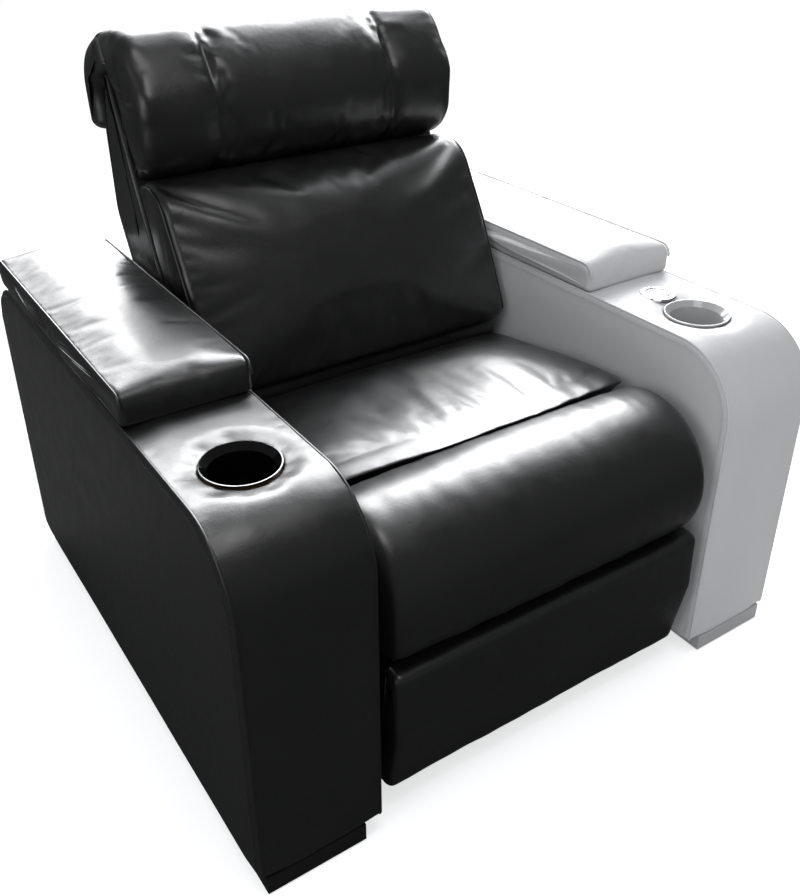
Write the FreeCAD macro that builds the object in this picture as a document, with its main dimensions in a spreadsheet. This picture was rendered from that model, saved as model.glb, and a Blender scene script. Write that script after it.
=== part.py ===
import FreeCAD, Part
import math
import os
import re
import Sketcher

# Power recliner seat for a cinema: two fixed arms, a seat between them, a legrest
# that swings up at the front and a back that reclines. Millimetres, X to the sitter's
# left, Y to the rear, Z up. The origin is on the floor under the middle of the seat.

V = FreeCAD.Vector
os.makedirs("parts", exist_ok=True)
doc = FreeCAD.newDocument("CinemaRecliner")
sheet = doc.addObject("Spreadsheet::Sheet", "Sizes")

# Driving dimensions, one value each, with what it measures
SIZES = {
    "seat_gap": (620, "clear width between the arms"),
    "arm_width": (190, "width of one arm"),
    "arm_front": (481, "front of the arms, ahead of the origin"),
    "arm_rear": (492, "rear of the arms, behind the origin"),
    "deck_height": (566, "top of the arm deck"),
    "front_corner": (112, "radius of the arm's front top corner"),
    "rear_corner": (110, "radius of the arm's rear top corner"),
    "arm_edge": (7, "rounding of the upholstered arm edges"),
    "cover_thick": (12, "foam and leather over the arm boards"),
    "board_thick": (18, "plywood of the arm carcass"),
    "carcass_corner": (100, "radius of the carcass corners"),
    "glide_thick": (3, "nylon glides under the plinth"),
    "glide_radius": (15, "radius of a glide"),
    "glide_edge": (60, "glide centres from the plinth ends"),
    "plinth_height": (33, "underside of the arm above the floor"),
    "plinth_inner": (28, "plinth set back from the arm's inner side"),
    "plinth_outer": (9, "plinth set back from the arm's outer side"),
    "plinth_rear": (20, "plinth set back from the arm's rear"),
    "plinth_wall": (32, "solid edge round the plinth pockets"),
    "plinth_pocket": (180, "length of one plinth pocket"),
    "pad_front": (165, "front of the armrest pad, ahead of the origin"),
    "pad_rear": (432, "rear of the armrest pad, behind the origin"),
        "pad_height": (53, "height of the armrest pad at its edges"),
    "pad_crown": (4, "crown of the armrest pad"),
    "pad_edge": (13, "rounding of the pad along its sides"),
    "pad_brow": (22, "rounding of the pad at its front"),
    "pad_heel": (26, "rounding of the pad at its rear, above and below"),
    "cup_forward": (319, "cup holder centre, ahead of the origin"),
    "cup_across": (95, "cup holder centre from the arm's inner side"),
    "cup_radius": (44, "outer radius of the cup liner"),
    "cup_wall": (1.6, "wall of the cup liner"),
    "cup_depth": (88, "depth of the cup liner below the deck"),
    "cup_flange": (52, "radius of the cup flange"),
    "flange_thick": (3, "thickness of the cup flange"),
    "lip_drop": (9, "height of the sloping lip inside the cup holder"),
    "lip_flat": (1.5, "flat edge round the lip"),
    "fit_gap": (0.3, "clearance of pieces that lie side by side"),
    "control_forward": (233, "control centre, ahead of the origin"),
    "bezel_radius": (31, "outer radius of the control ring"),
    "bezel_height": (4, "height of the control ring above the deck"),
    "rocker_radius": (20, "radius of the rocker disc"),
    "rocker_gap": (1, "gap between the rocker disc and its ring"),
    "rocker_thick": (8, "height of the rocker disc with its dome"),
    "rocker_sink": (4, "rocker underside below the deck"),
    "rocker_stem": (10, "width of the rocker stem"),
    "rocker_pin_drop": (8, "rocker pin below the deck"),
    "rocker_pin_radius": (2, "radius of the rocker pin"),
    "switch_radius": (28, "outer radius of the switch housing"),
    "switch_inner": (23.5, "inner radius of the switch housing"),
    "switch_depth": (36, "switch housing below the deck"),
    "run_gap": (0.05, "running clearance of shafts and pins"),
    "plate_thick": (6, "steel side plates"),
    "plate_gap": (4, "space between a side plate and the arm"),
    "legrest_forward": (364, "legrest axis, ahead of the origin"),
    "legrest_axis": (357, "legrest axis above the floor"),
    "back_behind": (112, "back axis, behind the origin"),
    "back_axis": (425, "back axis above the floor"),
    "shaft_radius": (12.5, "radius of the legrest shaft and the back tube"),
    "tube_wall": (2.5, "wall of the round tubes"),
    "collar_width": (5, "width of the collars on the shafts"),
    "collar_radius": (18, "radius of the collars on the shafts"),
    "bush_wall": (2.5, "wall of the nylon bushes"),
    "bush_flange": (20, "radius of the bush flanges"),
    "bush_flange_thick": (2, "thickness of the bush flanges"),
    "hub_half": (30, "half height of the side plate at its two hubs"),
    "plate_foot": (250, "side plate foot, ahead of and behind the origin"),
    "plate_clear": (8, "side plate above the floor"),
    "plate_shoulder": (350, "top edge of the side plate between its hubs"),
    "plate_hole": (42, "radius of the lightening holes"),
    "roll_radius": (128, "radius of the front roll at its middle"),
    "roll_foam": (36, "foam of the front roll"),
    "roll_top": (115, "roll from the front horizontal up to the seat seam, degrees"),
    "roll_low": (36, "roll from the front horizontal down to the crease, degrees"),
    "roll_half": (289, "half width of the front roll"),
    "roll_round": (20, "rounding of the roll's ends"),
    "roll_draw": (5, "roll radius lost from its middle to its ends"),
    "panel_half": (287, "half width of the lower panel"),
    "panel_foam": (38, "foam of the lower panel"),
    "panel_bottom": (42, "lower edge of the lower panel above the floor"),
    "panel_front": (487, "front of the lower panel, ahead of the origin"),
    "panel_lean": (26, "lower edge of the panel behind its front"),
    "panel_round": (14, "rounding of the lower panel's edges"),
    "panel_clear": (8.3, "crease between the roll and the lower panel"),
    "panel_waist": (20, "where the panel starts to lean, above its middle"),
    "skin_thick": (9, "curved legrest board"),
    "legrest_board_half": (256, "half width of the legrest board"),
    "cheek_thick": (15, "side cheeks of the legrest"),
    "bracket_thick": (6, "steel brackets and levers"),
    "bracket_out": (238, "legrest brackets from the middle"),
    "bracket_half": (25, "half height of a legrest bracket"),
    "bracket_leg": (180, "bracket leg down the legrest board"),
    "seat_half": (297, "half width of the seat cushion"),
    "seat_under": (349, "underside of the seat cushion"),
    "seat_clear": (2, "clearance between seat cushion and turning roll"),
    "seat_back_end": (44, "rear of the seat cushion, behind the origin"),
    "seat_crease": (434, "seat cushion top at the back"),
    "seat_swell": (3.2, "seat cushion's crest above its seam with the roll"),
    "seat_crest_forward": (255, "where the seat top is highest, ahead of the origin"),
    "seat_droop": (26, "seat cushion top lower at its sides"),
    "rail_tall": (25, "height of the seat rails"),
    "rail_wide": (36, "width of the seat rails"),
    "rail_front": (231, "front of the seat rails, ahead of the origin"),
    "rail_rear": (40, "rear of the seat rails, behind the origin"),
    "rail_side": (25, "width of the side rails"),
    "web_thick": (2, "thickness of the elastic webbing"),
    "web_wide": (50, "width of one strap"),
    "seat_straps": (5, "straps under the seat cushion"),
    "back_straps": (5, "straps across the back"),
    "back_lean": (25, "back from the vertical, degrees"),
    "back_half": (296, "half width of the back"),
    "back_foam": (104, "front of the back cushion ahead of the back axis"),
    "back_round": (18, "rounding of the back cushion's sides"),
    "back_turn": (64, "foot of the back cushion about the back axis"),
    "back_foot": (57, "underside of the back cushion below the back axis"),
    "back_shelf": (5, "underside of the cushion's front below the back axis"),
    "back_toe": (30, "rounding of the cushion's front lower edge"),
    "back_waist": (190, "where the back cushion starts to fall away, up the back"),
    "back_brow": (18, "how far its front has fallen back at the top"),
    "back_top": (354, "top of the back cushion, up the back"),
    "shell_wall": (14, "padded side and rear panels of the back"),
    "shell_skirt": (55, "foot of the side panels below the back axis"),
    "shell_low_deep": (112, "rear of the back behind its axis, at its foot"),
    "shell_low": (20, "foot of the rear panel below the back axis"),
    "shell_deep": (137, "rear of the back behind its axis, where it is deepest"),
    "shell_deep_up": (340, "where the back is deepest, up the back"),
    "shell_neck_deep": (68, "rear of the back behind its axis, below the pillow"),
    "shell_neck": (490, "where that is, up the back"),
    "shell_top_deep": (12, "rear of the shell behind its axis, at its top"),
    "shell_top": (545, "top of the shell, up the back"),
    "shell_bend": (60, "rounding of the rear panel where it is deepest"),
    "member_wide": (20, "width of the back's side members"),
    "member_deep": (36, "depth of the back's side members"),
    "member_out": (262, "back side members from the middle"),
    "member_foot": (20, "foot of the side members below the back axis"),
    "member_clear": (10, "top of the side members below the back's neck"),
    "back_rail": (25, "height of the rails across the back frame"),
    "head_half": (297, "half width of the head pillow"),
    "head_round": (24, "rounding of the head pillow's ends"),
    "head_foot": (361, "underside of the head pillow, up the back"),
    "head_chin": (72, "front lower corner of the pillow ahead of the back axis"),
    "head_front": (118, "front of the pillow ahead of the back axis"),
    "head_front_up": (458, "where that is, up the back"),
    "head_brow": (90, "front upper corner of the pillow ahead of the back axis"),
    "head_brow_up": (585, "where that is, up the back"),
    "head_top": (615, "top of the pillow, up the back"),
    "head_soft": (80, "rounding of the pillow's upper and lower front"),
    "head_split": (20, "seam between pillow and flap behind the back axis"),
    "flap_thick": (56, "thickness of the rear flap"),
    "flap_hem": (484, "lower edge of the rear flap, up the back"),
    "flap_deep": (180, "rear of the flap behind the back axis, at its hem"),
    "flap_lean": (48, "how far the flap's top is ahead of its hem"),
    "flap_soft": (84, "rounding of the flap over the top of the back"),
    "runner_side": (40, "square runner tubes"),
    "runner_wall": (3, "wall of the square tubes"),
    "runner_end": (260, "runner ends, ahead of and behind the origin"),
    "foot_thick": (6, "bolt-down feet"),
    "foot_wide": (60, "width of a foot beside its runner"),
    "foot_long": (70, "length of a foot"),
    "foot_bolt_x": (470, "floor bolt spacing across"),
    "foot_bolt_y": (450, "floor bolt spacing front to rear"),
    "foot_hole": (5.5, "radius of a floor bolt hole"),
    "motor_tube": (40, "square cross tube that carries the actuators"),
    "motor_tube_y": (86, "centre of that tube, ahead of the origin"),
    "motor_tube_z": (168, "underside of that tube"),
    "act_offset": (95, "actuators from the middle"),
    "act_radius": (15, "radius of the actuator guide tubes"),
    "act_tube": (120, "length of the guide tubes"),
    "rod_radius": (8, "radius of the actuator rods"),
    "rod_gap": (0.4, "clearance of the rods in their tubes"),
    "eye_half": (9, "half width of the rod eyes"),
    "pin_radius": (6, "radius of the cross pins"),
    "pin_wall": (7, "metal round the cross pins"),
    "gearbox_long": (62, "gearbox along the actuator"),
    "gearbox_half": (26, "half width and height of the gearbox"),
    "motor_radius": (20, "radius of the motors"),
    "motor_long": (84, "length of the motors"),
    "mount_reach": (26, "actuator mounting eye behind the gearbox"),
    "legrest_throw": (60, "legrest actuator line from the legrest axis"),
    "legrest_tilt": (12, "legrest actuator line from the horizontal, degrees"),
    "legrest_swing": (80, "legrest travel, degrees"),
    "legrest_rate": (1.14, "rod travel per turn against the throw, legrest"),
    "legrest_play": (2.3, "side play of the pin in the legrest lever"),
    "back_throw": (96, "back actuator line from the back axis"),
    "back_tilt": (20, "back actuator line from the horizontal, degrees"),
    "back_swing": (32, "back travel, degrees"),
    "back_rate": (1.02, "rod travel per turn against the throw, back"),
    "back_play": (0.6, "side play of the pin in the back lever"),
    "slot_end": (2, "free length at each end of a lever slot"),
    "lever_half": (17, "half width of the levers"),
    "bolt_radius": (4, "radius of the arm bolts"),
    "bolt_head": (6.5, "across-corner radius of the bolt heads"),
    "bolt_head_thick": (5, "thickness of the bolt heads"),
    "bolt_reach": (34, "arm bolts beyond the side plates"),
    "bolt_y": (190, "arm bolts, ahead of and behind the origin"),
    "bolt_low": (120, "lower arm bolts above the floor"),
    "bolt_high": (250, "upper arm bolts above the floor"),
    "spacer_radius": (16, "radius of the spacers between plate and arm"),
    "base_tube_y": (170, "base cross tubes, ahead of and behind the origin"),
    "legrest_mouth": (56, "guide tube mouth behind the legrest pin at rest"),
    "back_mouth": (80, "guide tube mouth from the back pin at rest"),
    "rod_grip": (115, "legrest rod inside its tube at rest"),
    "back_grip": (52, "back rod inside its tube at rest"),
    "back_groove": (27, "groove in the back cushion round its tube"),
    "supply_long": (180, "length of the power supply"),
    "supply_wide": (86, "width of the power supply"),
    "supply_tall": (48, "height of the power supply"),
    "supply_edge": (6, "rounding of the power supply"),
    "inlet_half": (11, "half width of the inlet socket"),
    "inlet_tall": (14, "height of the inlet socket"),
    "inlet_wall": (2, "wall of the inlet socket"),
    "inlet_deep": (12, "depth of the inlet socket"),
}
for row, (alias, (value, note)) in enumerate(SIZES.items(), start=1):
    sheet.set("A%d" % row, note)
    sheet.set("B%d" % row, str(value))
    sheet.setAlias("B%d" % row, alias)
doc.recompute()

# Places that follow from the driving dimensions, as formulas over them
PLACES = {
    "half_gap": "seat_gap / 2",
    "member_top": "shell_neck - member_clear",
    "plate_out": "half_gap - plate_gap",
    "plate_in": "plate_out - plate_thick",
    "bush_radius": "shaft_radius + run_gap + bush_wall",
    "roll_inner": "roll_radius - roll_foam",
    "skin_outer": "roll_inner - fit_gap",
    "skin_inner": "skin_outer - skin_thick",
    "panel_back": "panel_front - panel_foam - fit_gap",
    "rail_top": "seat_under - fit_gap - web_thick",
    "rail_under": "rail_top - rail_tall",
    "runner_top": "foot_thick + runner_side",
    "legrest_reach": "legrest_throw * legrest_rate * legrest_swing / 2 * 0.0174532925",
    "back_reach": "back_throw * back_rate * back_swing / 2 * 0.0174532925",
}
NAME = re.compile(r"[a-z][a-z_]+")


def formula(text, prefix="Sizes."):
    """Spell a formula out in the sheet's own names."""
    def spell(match):
        word = match.group(0)
        if word in PLACES:
            return "(" + formula(PLACES[word], prefix) + ")"
        return prefix + word if word in SIZES else word
    return NAME.sub(spell, text)


def val(text):
    """The present value of a formula."""
    return float(sheet.evalExpression(formula(text, "")))


def bind(thing, **formulas):
    """Tie properties of an object to formulas over the sheet."""
    for name, text in formulas.items():
        thing.setExpression(name.replace("__", "."), formula(text))


NODES = {}


def node(thing, label):
    """Take an object as a finished piece of the seat."""
    thing.Label = label
    NODES[label] = thing
    return thing


def box(name, x, y, z, dx, dy, dz):
    """A block from its lowest corner and its three sizes, all formulas."""
    thing = doc.addObject("Part::Box", name)
    bind(thing, Length=dx, Width=dy, Height=dz)
    bind(thing, Placement__Base__x=x, Placement__Base__y=y, Placement__Base__z=z)
    return thing


def rod(name, axis, x, y, z, radius, length):
    """A round bar from the centre of its lower end, along X, Y or Z."""
    turns = {"X": FreeCAD.Rotation(V(0, 1, 0), 90), "Y": FreeCAD.Rotation(V(1, 0, 0), -90)}
    thing = doc.addObject("Part::Cylinder", name)
    thing.Placement = FreeCAD.Placement(V(), turns.get(axis, FreeCAD.Rotation()))
    bind(thing, Radius=radius, Height=length)
    bind(thing, Placement__Base__x=x, Placement__Base__y=y, Placement__Base__z=z)
    return thing


def fuse(name, pieces):
    thing = doc.addObject("Part::MultiFuse", name)
    thing.Shapes = pieces
    return thing


def cut(name, base, tools):
    """Take one tool, or several tools together, out of a base."""
    thing = doc.addObject("Part::Cut", name)
    thing.Base = base
    thing.Tool = tools[0] if len(tools) == 1 else fuse(name + "_tools", tools)
    return thing


def group(name, pieces):
    """Separate solids of one kind, kept apart in one piece."""
    thing = doc.addObject("Part::Compound", name)
    thing.Links = pieces
    return thing


def origin_plane(body, role):
    return [f for f in body.Origin.OriginFeatures if f.Role == role][0]


def sketch_on(body, name, role, offset="0"):
    sketch = body.newObject("Sketcher::SketchObject", name)
    sketch.AttachmentSupport = [(origin_plane(body, role), "")]
    sketch.MapMode = "FlatFace"
    bind(sketch, AttachmentOffset__Base__z=offset)
    return sketch


def fix(sketch, kind, items, text):
    index = sketch.addConstraint(Sketcher.Constraint(kind, *items, val(text)))
    sketch.setExpression("Constraints[%d]" % index, formula(text))


def polygon(sketch, points):
    """A closed outline whose corners are tied to formulas."""
    first = sketch.GeometryCount
    count = len(points)
    corners = [V(val(a), val(b), 0) for a, b in points]
    for index in range(count):
        line = Part.LineSegment(corners[index], corners[(index + 1) % count])
        sketch.addGeometry(line, False)
    for index in range(count):
        after = first + (index + 1) % count
        sketch.addConstraint(Sketcher.Constraint("Coincident", first + index, 2, after, 1))
    for index, (a, b) in enumerate(points):
        fix(sketch, "DistanceX", (-1, 1, first + index, 1), a)
        fix(sketch, "DistanceY", (-1, 1, first + index, 1), b)


def circle(sketch, a, b, radius):
    index = sketch.GeometryCount
    shape = Part.Circle(V(val(a), val(b), 0), V(0, 0, 1), val(radius))
    sketch.addGeometry(shape, False)
    fix(sketch, "DistanceX", (-1, 1, index, 3), a)
    fix(sketch, "DistanceY", (-1, 1, index, 3), b)
    fix(sketch, "Radius", (index,), radius)


def side_board(name, x, thick, outline, corners=(), holes=()):
    """A board in the YZ plane: outline padded along X, corners rounded, holes bored."""
    body = doc.addObject("PartDesign::Body", name)
    outer = sketch_on(body, name + "_outline", "YZ_Plane", x)
    polygon(outer, outline)
    pad = body.newObject("PartDesign::Pad", name + "_pad")
    pad.Profile = outer
    bind(pad, Length=thick)
    doc.recompute()
    round_corners(body, corners)
    if holes:
        bores = sketch_on(body, name + "_bores", "YZ_Plane", x)
        for a, b, radius in holes:
            circle(bores, a, b, radius)
        before = body.Tip.Shape.Volume
        pocket = body.newObject("PartDesign::Pocket", name + "_holes")
        pocket.Profile = bores
        pocket.Reversed = True
        pocket.Type = "ThroughAll"
        doc.recompute()
        if pocket.Shape.Volume >= before:
            raise RuntimeError("holes of %s cut nothing" % name)
    return body


def round_corners(body, corners):
    """Fillet the edges along X that stand at corners of the outline."""
    for y, z, radius in corners:
        base = body.Tip
        edges = edges_at(base.Shape, val(y), val(z))
        rounding = body.newObject("PartDesign::Fillet", "Rounding")
        rounding.Base = (base, edges)
        bind(rounding, Radius=radius)
        doc.recompute()


def edges_at(shape, y, z):
    """Names of the edges along X that stand at one point of the outline."""
    names = []
    for index, edge in enumerate(shape.Edges, start=1):
        ends = [vertex.Point for vertex in edge.Vertexes]
        if len(ends) == 2 and all(math.hypot(p.y - y, p.z - z) < 1e-3 for p in ends):
            names.append("Edge%d" % index)
    return names


def turned(name, outline, x="0", y="0", z="0"):
    """A turned piece: outline of (radius, height) revolved about a vertical axis."""
    body = doc.addObject("PartDesign::Body", name)
    profile = sketch_on(body, name + "_profile", "XZ_Plane")
    polygon(profile, outline)
    turn = body.newObject("PartDesign::Revolution", name + "_turn")
    turn.Profile = profile
    turn.ReferenceAxis = (profile, ["V_Axis"])
    turn.Angle = 360
    bind(body, Placement__Base__x=x, Placement__Base__y=y, Placement__Base__z=z)
    return body


def rounded(name, base, pick, radius):
    """Round the edges of a finished shape that pick() accepts."""
    doc.recompute()
    thing = doc.addObject("Part::Fillet", name)
    thing.Base = base
    numbers = [i for i, edge in enumerate(base.Shape.Edges, start=1) if pick(edge)]
    thing.Edges = [(i, val(radius), val(radius)) for i in numbers]
    return thing


def made(name, shape):
    """A piece whose form is worked out here from the sheet's sizes."""
    thing = doc.addObject("Part::Feature", name)
    thing.Shape = shape
    return thing


# Soft forms: an outline of lines and arcs in the YZ plane, drawn in towards an
# anchor at the sides and swelled in the middle, and lofted across the seat.

def blunted(corners):
    """An outline from corners (y, z, radius): straight sides joined by tangent arcs."""
    ends = []
    arcs = []
    count = len(corners)
    for index, (y, z, radius) in enumerate(corners):
        here = V(0, y, z)
        before = V(0, *corners[index - 1][:2])
        after = V(0, *corners[(index + 1) % count][:2])
        back = (before - here).normalize()
        ahead = (after - here).normalize()
        half_angle = back.getAngle(ahead) / 2
        reach = radius / math.tan(half_angle)
        inward = (back + ahead).normalize()
        nearest = here + inward * (radius / math.sin(half_angle) - radius)
        points = (here + back * reach, nearest, here + ahead * reach)
        ends.append((points[0], points[2]))
        arcs.append(points if radius else None)
    pieces = []
    for index in range(count):
        if arcs[index]:
            pieces.append(tuple((p.y, p.z) for p in arcs[index]))
        start = ends[index][1]
        finish = ends[(index + 1) % count][0]
        pieces.append(((start.y, start.z), (finish.y, finish.z)))
    return pieces


def section(outline, x, anchor, grow_y, grow_z):
    """One closed outline at x, scaled about the anchor."""
    def place(point):
        dy = (point[0] - anchor[0]) * grow_y
        dz = (point[1] - anchor[1]) * grow_z
        return V(x, anchor[0] + dy, anchor[1] + dz)
    edges = []
    for piece in outline:
        points = [place(p) for p in piece]
        if len(points) == 2:
            edges.append(Part.LineSegment(*points).toShape())
        else:
            edges.append(Part.Arc(*points).toShape())
    return Part.Wire(edges)


def cushion(outline, middle, half, anchor, edge, crown):
    """A crowned pad: sides rounded by edge, the middle swelled by crown."""
    points = [p for piece in outline for p in piece]
    reach_y = max(abs(p[0] - anchor[0]) for p in points)
    reach_z = max(abs(p[1] - anchor[1]) for p in points)
    stations = [(half, edge), (half - 0.3 * edge, 0.3 * edge), (half - edge, 0.0)]
    stations += [(half * 0.5, -0.75 * crown), (0.0, -crown)]
    places = [(-across, inset) for across, inset in stations]
    places += [(across, inset) for across, inset in reversed(stations[:-1])]
    wires = []
    for across, inset in places:
        grow_y = 1 - inset / reach_y
        grow_z = 1 - inset / reach_z
        wires.append(section(outline, middle + across, anchor, grow_y, grow_z))
    return Part.makeLoft(wires, True, True)


def polar(centre, radius, degrees):
    """A point round an axis: 0 degrees is forward, 90 up, 180 to the rear."""
    angle = math.radians(degrees)
    return (centre[0] - radius * math.cos(angle), centre[1] + radius * math.sin(angle))


# Axes and lines that several pieces share
LEGREST = (-val("legrest_forward"), val("legrest_axis"))
BACK = (val("back_behind"), val("back_axis"))
SIDES = (("left", 1), ("right", -1))


def across(sign, low, high):
    """Lower X and width, as formulas, of a span that is mirrored for the right side."""
    return (low if sign > 0 else "-(%s)" % high, "(%s) - (%s)" % (high, low))


ARM_OUTER = "(half_gap + arm_width)"
LIP_LOW = "(lip_drop + 2 * cup_wall)"
BOLTS = [(y, z) for y in ("-bolt_y", "bolt_y") for z in ("bolt_low", "bolt_high")]


# Arms: a plywood carcass under foam and leather, on a plinth with nylon glides

def arm(side, sign):
    cup_x = "%d * (half_gap + cup_across)" % sign
    outer_x, outer_w = across(sign, "half_gap", ARM_OUTER)
    outline = [("-arm_front", "plinth_height"), ("arm_rear", "plinth_height"),
               ("arm_rear", "deck_height"), ("-arm_front", "deck_height")]
    corners = [("-arm_front", "deck_height", "front_corner"),
               ("arm_rear", "deck_height", "rear_corner")]
    skin = side_board(side + "_arm_skin", outer_x, outer_w, outline, corners)
    reach = max(abs(val(ARM_OUTER)), val("half_gap"))
    inner = val("half_gap")

    def band_edge(edge):
        """An edge of the band: on the arm's inner or outer side, but not at its foot."""
        low = edge.BoundBox
        flat = low.XLength < 1e-3
        on_side = min(abs(abs(low.XMin) - reach), abs(abs(low.XMin) - inner)) < 1e-3
        return flat and on_side and low.ZMax > val("plinth_height") + 1

    soft = rounded(side + "_arm_soft", skin, band_edge, "arm_edge")

    low, wide = across(sign, "half_gap + cover_thick", ARM_OUTER + " - cover_thick")
    front = "-(arm_front - cover_thick)"
    rear = "arm_rear - cover_thick"
    top = "deck_height - cover_thick"
    outline = [(front, "plinth_height"), (rear, "plinth_height"), (rear, top), (front, top)]
    corners = [(front, top, "carcass_corner"), (rear, top, "carcass_corner")]
    carcass = side_board(side + "_arm_boards", low, wide, outline, corners)
    boards = "half_gap + cover_thick + board_thick"
    low, wide = across(sign, boards, ARM_OUTER + " - cover_thick - board_thick")
    front = "-(arm_front - cover_thick - board_thick)"
    rear = "arm_rear - cover_thick - board_thick"
    top = "deck_height - cover_thick - board_thick"
    foot = "plinth_height + board_thick"
    outline = [(front, foot), (rear, foot), (rear, top), (front, top)]
    inside_corner = "carcass_corner - board_thick"
    corners = [(front, top, inside_corner), (rear, top, inside_corner)]
    hollow = side_board(side + "_arm_hollow", low, wide, outline, corners)

    under = "deck_height - cup_depth - cup_wall - fit_gap"
    lip_room = doc.addObject("Part::Cone", side + "_lip_room")
    bind(lip_room, Radius1="cup_radius + fit_gap", Radius2="cup_flange + fit_gap",
         Height=LIP_LOW + " - flange_thick + fit_gap", Placement__Base__x=cup_x,
         Placement__Base__y="-cup_forward",
         Placement__Base__z="deck_height - (%s) - fit_gap" % LIP_LOW)
    bores = [
        rod(side + "_cup_bore", "Z", cup_x, "-cup_forward", under, "cup_radius + fit_gap",
            "cup_depth + 40"),
        rod(side + "_flange_seat", "Z", cup_x, "-cup_forward", "deck_height - flange_thick",
            "cup_flange + fit_gap", "40"),
        lip_room,
    ]
    if side == "left":
        bores.append(rod("control_bore", "Z", cup_x, "-control_forward",
                         "deck_height - switch_depth", "switch_radius + fit_gap", "60"))
    start = "half_gap - 1" if sign > 0 else "-(half_gap + cover_thick + board_thick + 1)"
    for index, (y, z) in enumerate(BOLTS):
        bores.append(rod("%s_arm_bolt_bore_%d" % (side, index), "X", start, y, z,
                         "bolt_radius + fit_gap", "cover_thick + board_thick + 2"))
    node(cut(side + "_arm_cover_cut", soft, [carcass] + bores), side + "_arm_cover")
    node(cut(side + "_arm_frame_cut", carcass, [hollow] + bores), side + "_arm_frame")

    # Cup liner: a moulded cup with a sloping lip, dropped into the deck by its flange
    wall = "(cup_radius - cup_wall)"
    top = "0"
    seat = "-flange_thick"
    floor = "-cup_depth"
    liner = [("0", floor + " - cup_wall"), ("cup_radius", floor + " - cup_wall"),
             ("cup_radius", "-(%s)" % LIP_LOW), ("cup_flange", seat), ("cup_flange", top),
             ("cup_flange - lip_flat", top), (wall, "-lip_drop"), (wall, floor), ("0", floor)]
    holder = turned(side + "_cup_body", liner, cup_x, "-cup_forward", "deck_height")
    node(holder, side + "_cup_holder")

    # Plinth: a board with pockets routed from below, set back under the arm
    low, wide = across(sign, "half_gap + plinth_inner", ARM_OUTER + " - plinth_outer")
    plinth = doc.addObject("PartDesign::Body", side + "_plinth_body")
    base = sketch_on(plinth, side + "_plinth_outline", "XY_Plane", "glide_thick")
    right = "(%s) + (%s)" % (low, wide)
    rear = "arm_rear - plinth_rear"
    polygon(base, [(low, "-arm_front"), (right, "-arm_front"), (right, rear), (low, rear)])
    pad = plinth.newObject("PartDesign::Pad", side + "_plinth_pad")
    pad.Profile = base
    bind(pad, Length="plinth_height - glide_thick")
    doc.recompute()
    under = sketch_on(plinth, side + "_plinth_pocket_outline", "XY_Plane", "glide_thick")
    near = "-arm_front + 2 * glide_edge"
    polygon(under, [("(%s) + plinth_wall" % low, near), ("(%s) - plinth_wall" % right, near),
                    ("(%s) - plinth_wall" % right, near + " + plinth_pocket"),
                    ("(%s) + plinth_wall" % low, near + " + plinth_pocket")])
    routed = plinth.newObject("PartDesign::Pocket", side + "_plinth_pocket")
    routed.Profile = under
    routed.Reversed = True
    bind(routed, Length="plinth_height - glide_thick - board_thick")
    doc.recompute()
    rows = plinth.newObject("PartDesign::LinearPattern", side + "_plinth_pockets")
    rows.Originals = [routed]
    rows.Direction = (under, ["V_Axis"])
    rows.Occurrences = 3
    bind(rows, Length="2 * (plinth_pocket + plinth_wall)")
    plinth.Tip = rows
    node(plinth, side + "_arm_plinth")

    glides = []
    for index, y in enumerate(("-arm_front + glide_edge", rear + " - glide_edge")):
        middle = "(%s) + (%s) / 2" % (low, wide)
        glides.append(rod("%s_glide_%d" % (side, index), "Z", middle, y, "0",
                          "glide_radius", "glide_thick"))
    node(group(side + "_glides", glides), side + "_arm_glides")

    # Armrest pad: foam block on the rear of the deck, its rear end bulging over the corner
    deck = val("deck_height")
    top = val("deck_height + pad_height")
    front = -val("pad_front")
    rear = val("pad_rear")
    heel = val("pad_heel")
    outline = blunted([(front, deck, 0), (rear, deck, heel), (rear, top, heel - 2),
                       (front, top, val("pad_brow"))])
    middle = sign * val("half_gap + arm_width / 2")
    form = cushion(outline, middle, val("arm_width / 2"), ((front + rear) / 2, deck),
                   val("pad_edge"), val("pad_crown"))
    node(made(side + "_pad_form", form), side + "_armrest_pad")


for side, sign in SIDES:
    arm(side, sign)

# Bolts from the side plates into the arms, with spacers that keep the plate off the leather
for side, sign in SIDES:
    bolts = []
    spacers = []
    for index, (y, z) in enumerate(BOLTS):
        low, wide = across(sign, "plate_in - bolt_head_thick", "plate_in")
        head = doc.addObject("Part::Prism", "%s_bolt_head_%d" % (side, index))
        head.Polygon = 6
        head.Placement = FreeCAD.Placement(V(), FreeCAD.Rotation(V(0, 1, 0), 90))
        bind(head, Circumradius="bolt_head", Height=wide)
        bind(head, Placement__Base__x=low, Placement__Base__y=y, Placement__Base__z=z)
        low, wide = across(sign, "plate_in - 1", "plate_out + bolt_reach")
        shank = rod("%s_bolt_shank_%d" % (side, index), "X", low, y, z, "bolt_radius", wide)
        bolts.append(fuse("%s_bolt_%d" % (side, index), [head, shank]))
        low, wide = across(sign, "plate_out", "half_gap")
        ring = rod("%s_spacer_disc_%d" % (side, index), "X", low, y, z, "spacer_radius", wide)
        bore = rod("%s_spacer_bore_%d" % (side, index), "X", low, y, z,
                   "bolt_radius + fit_gap", wide)
        spacers.append(cut("%s_spacer_%d" % (side, index), ring, [bore]))
    node(group(side + "_bolts", bolts), side + "_arm_bolts")
    node(group(side + "_spacers", spacers), side + "_arm_spacers")

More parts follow.
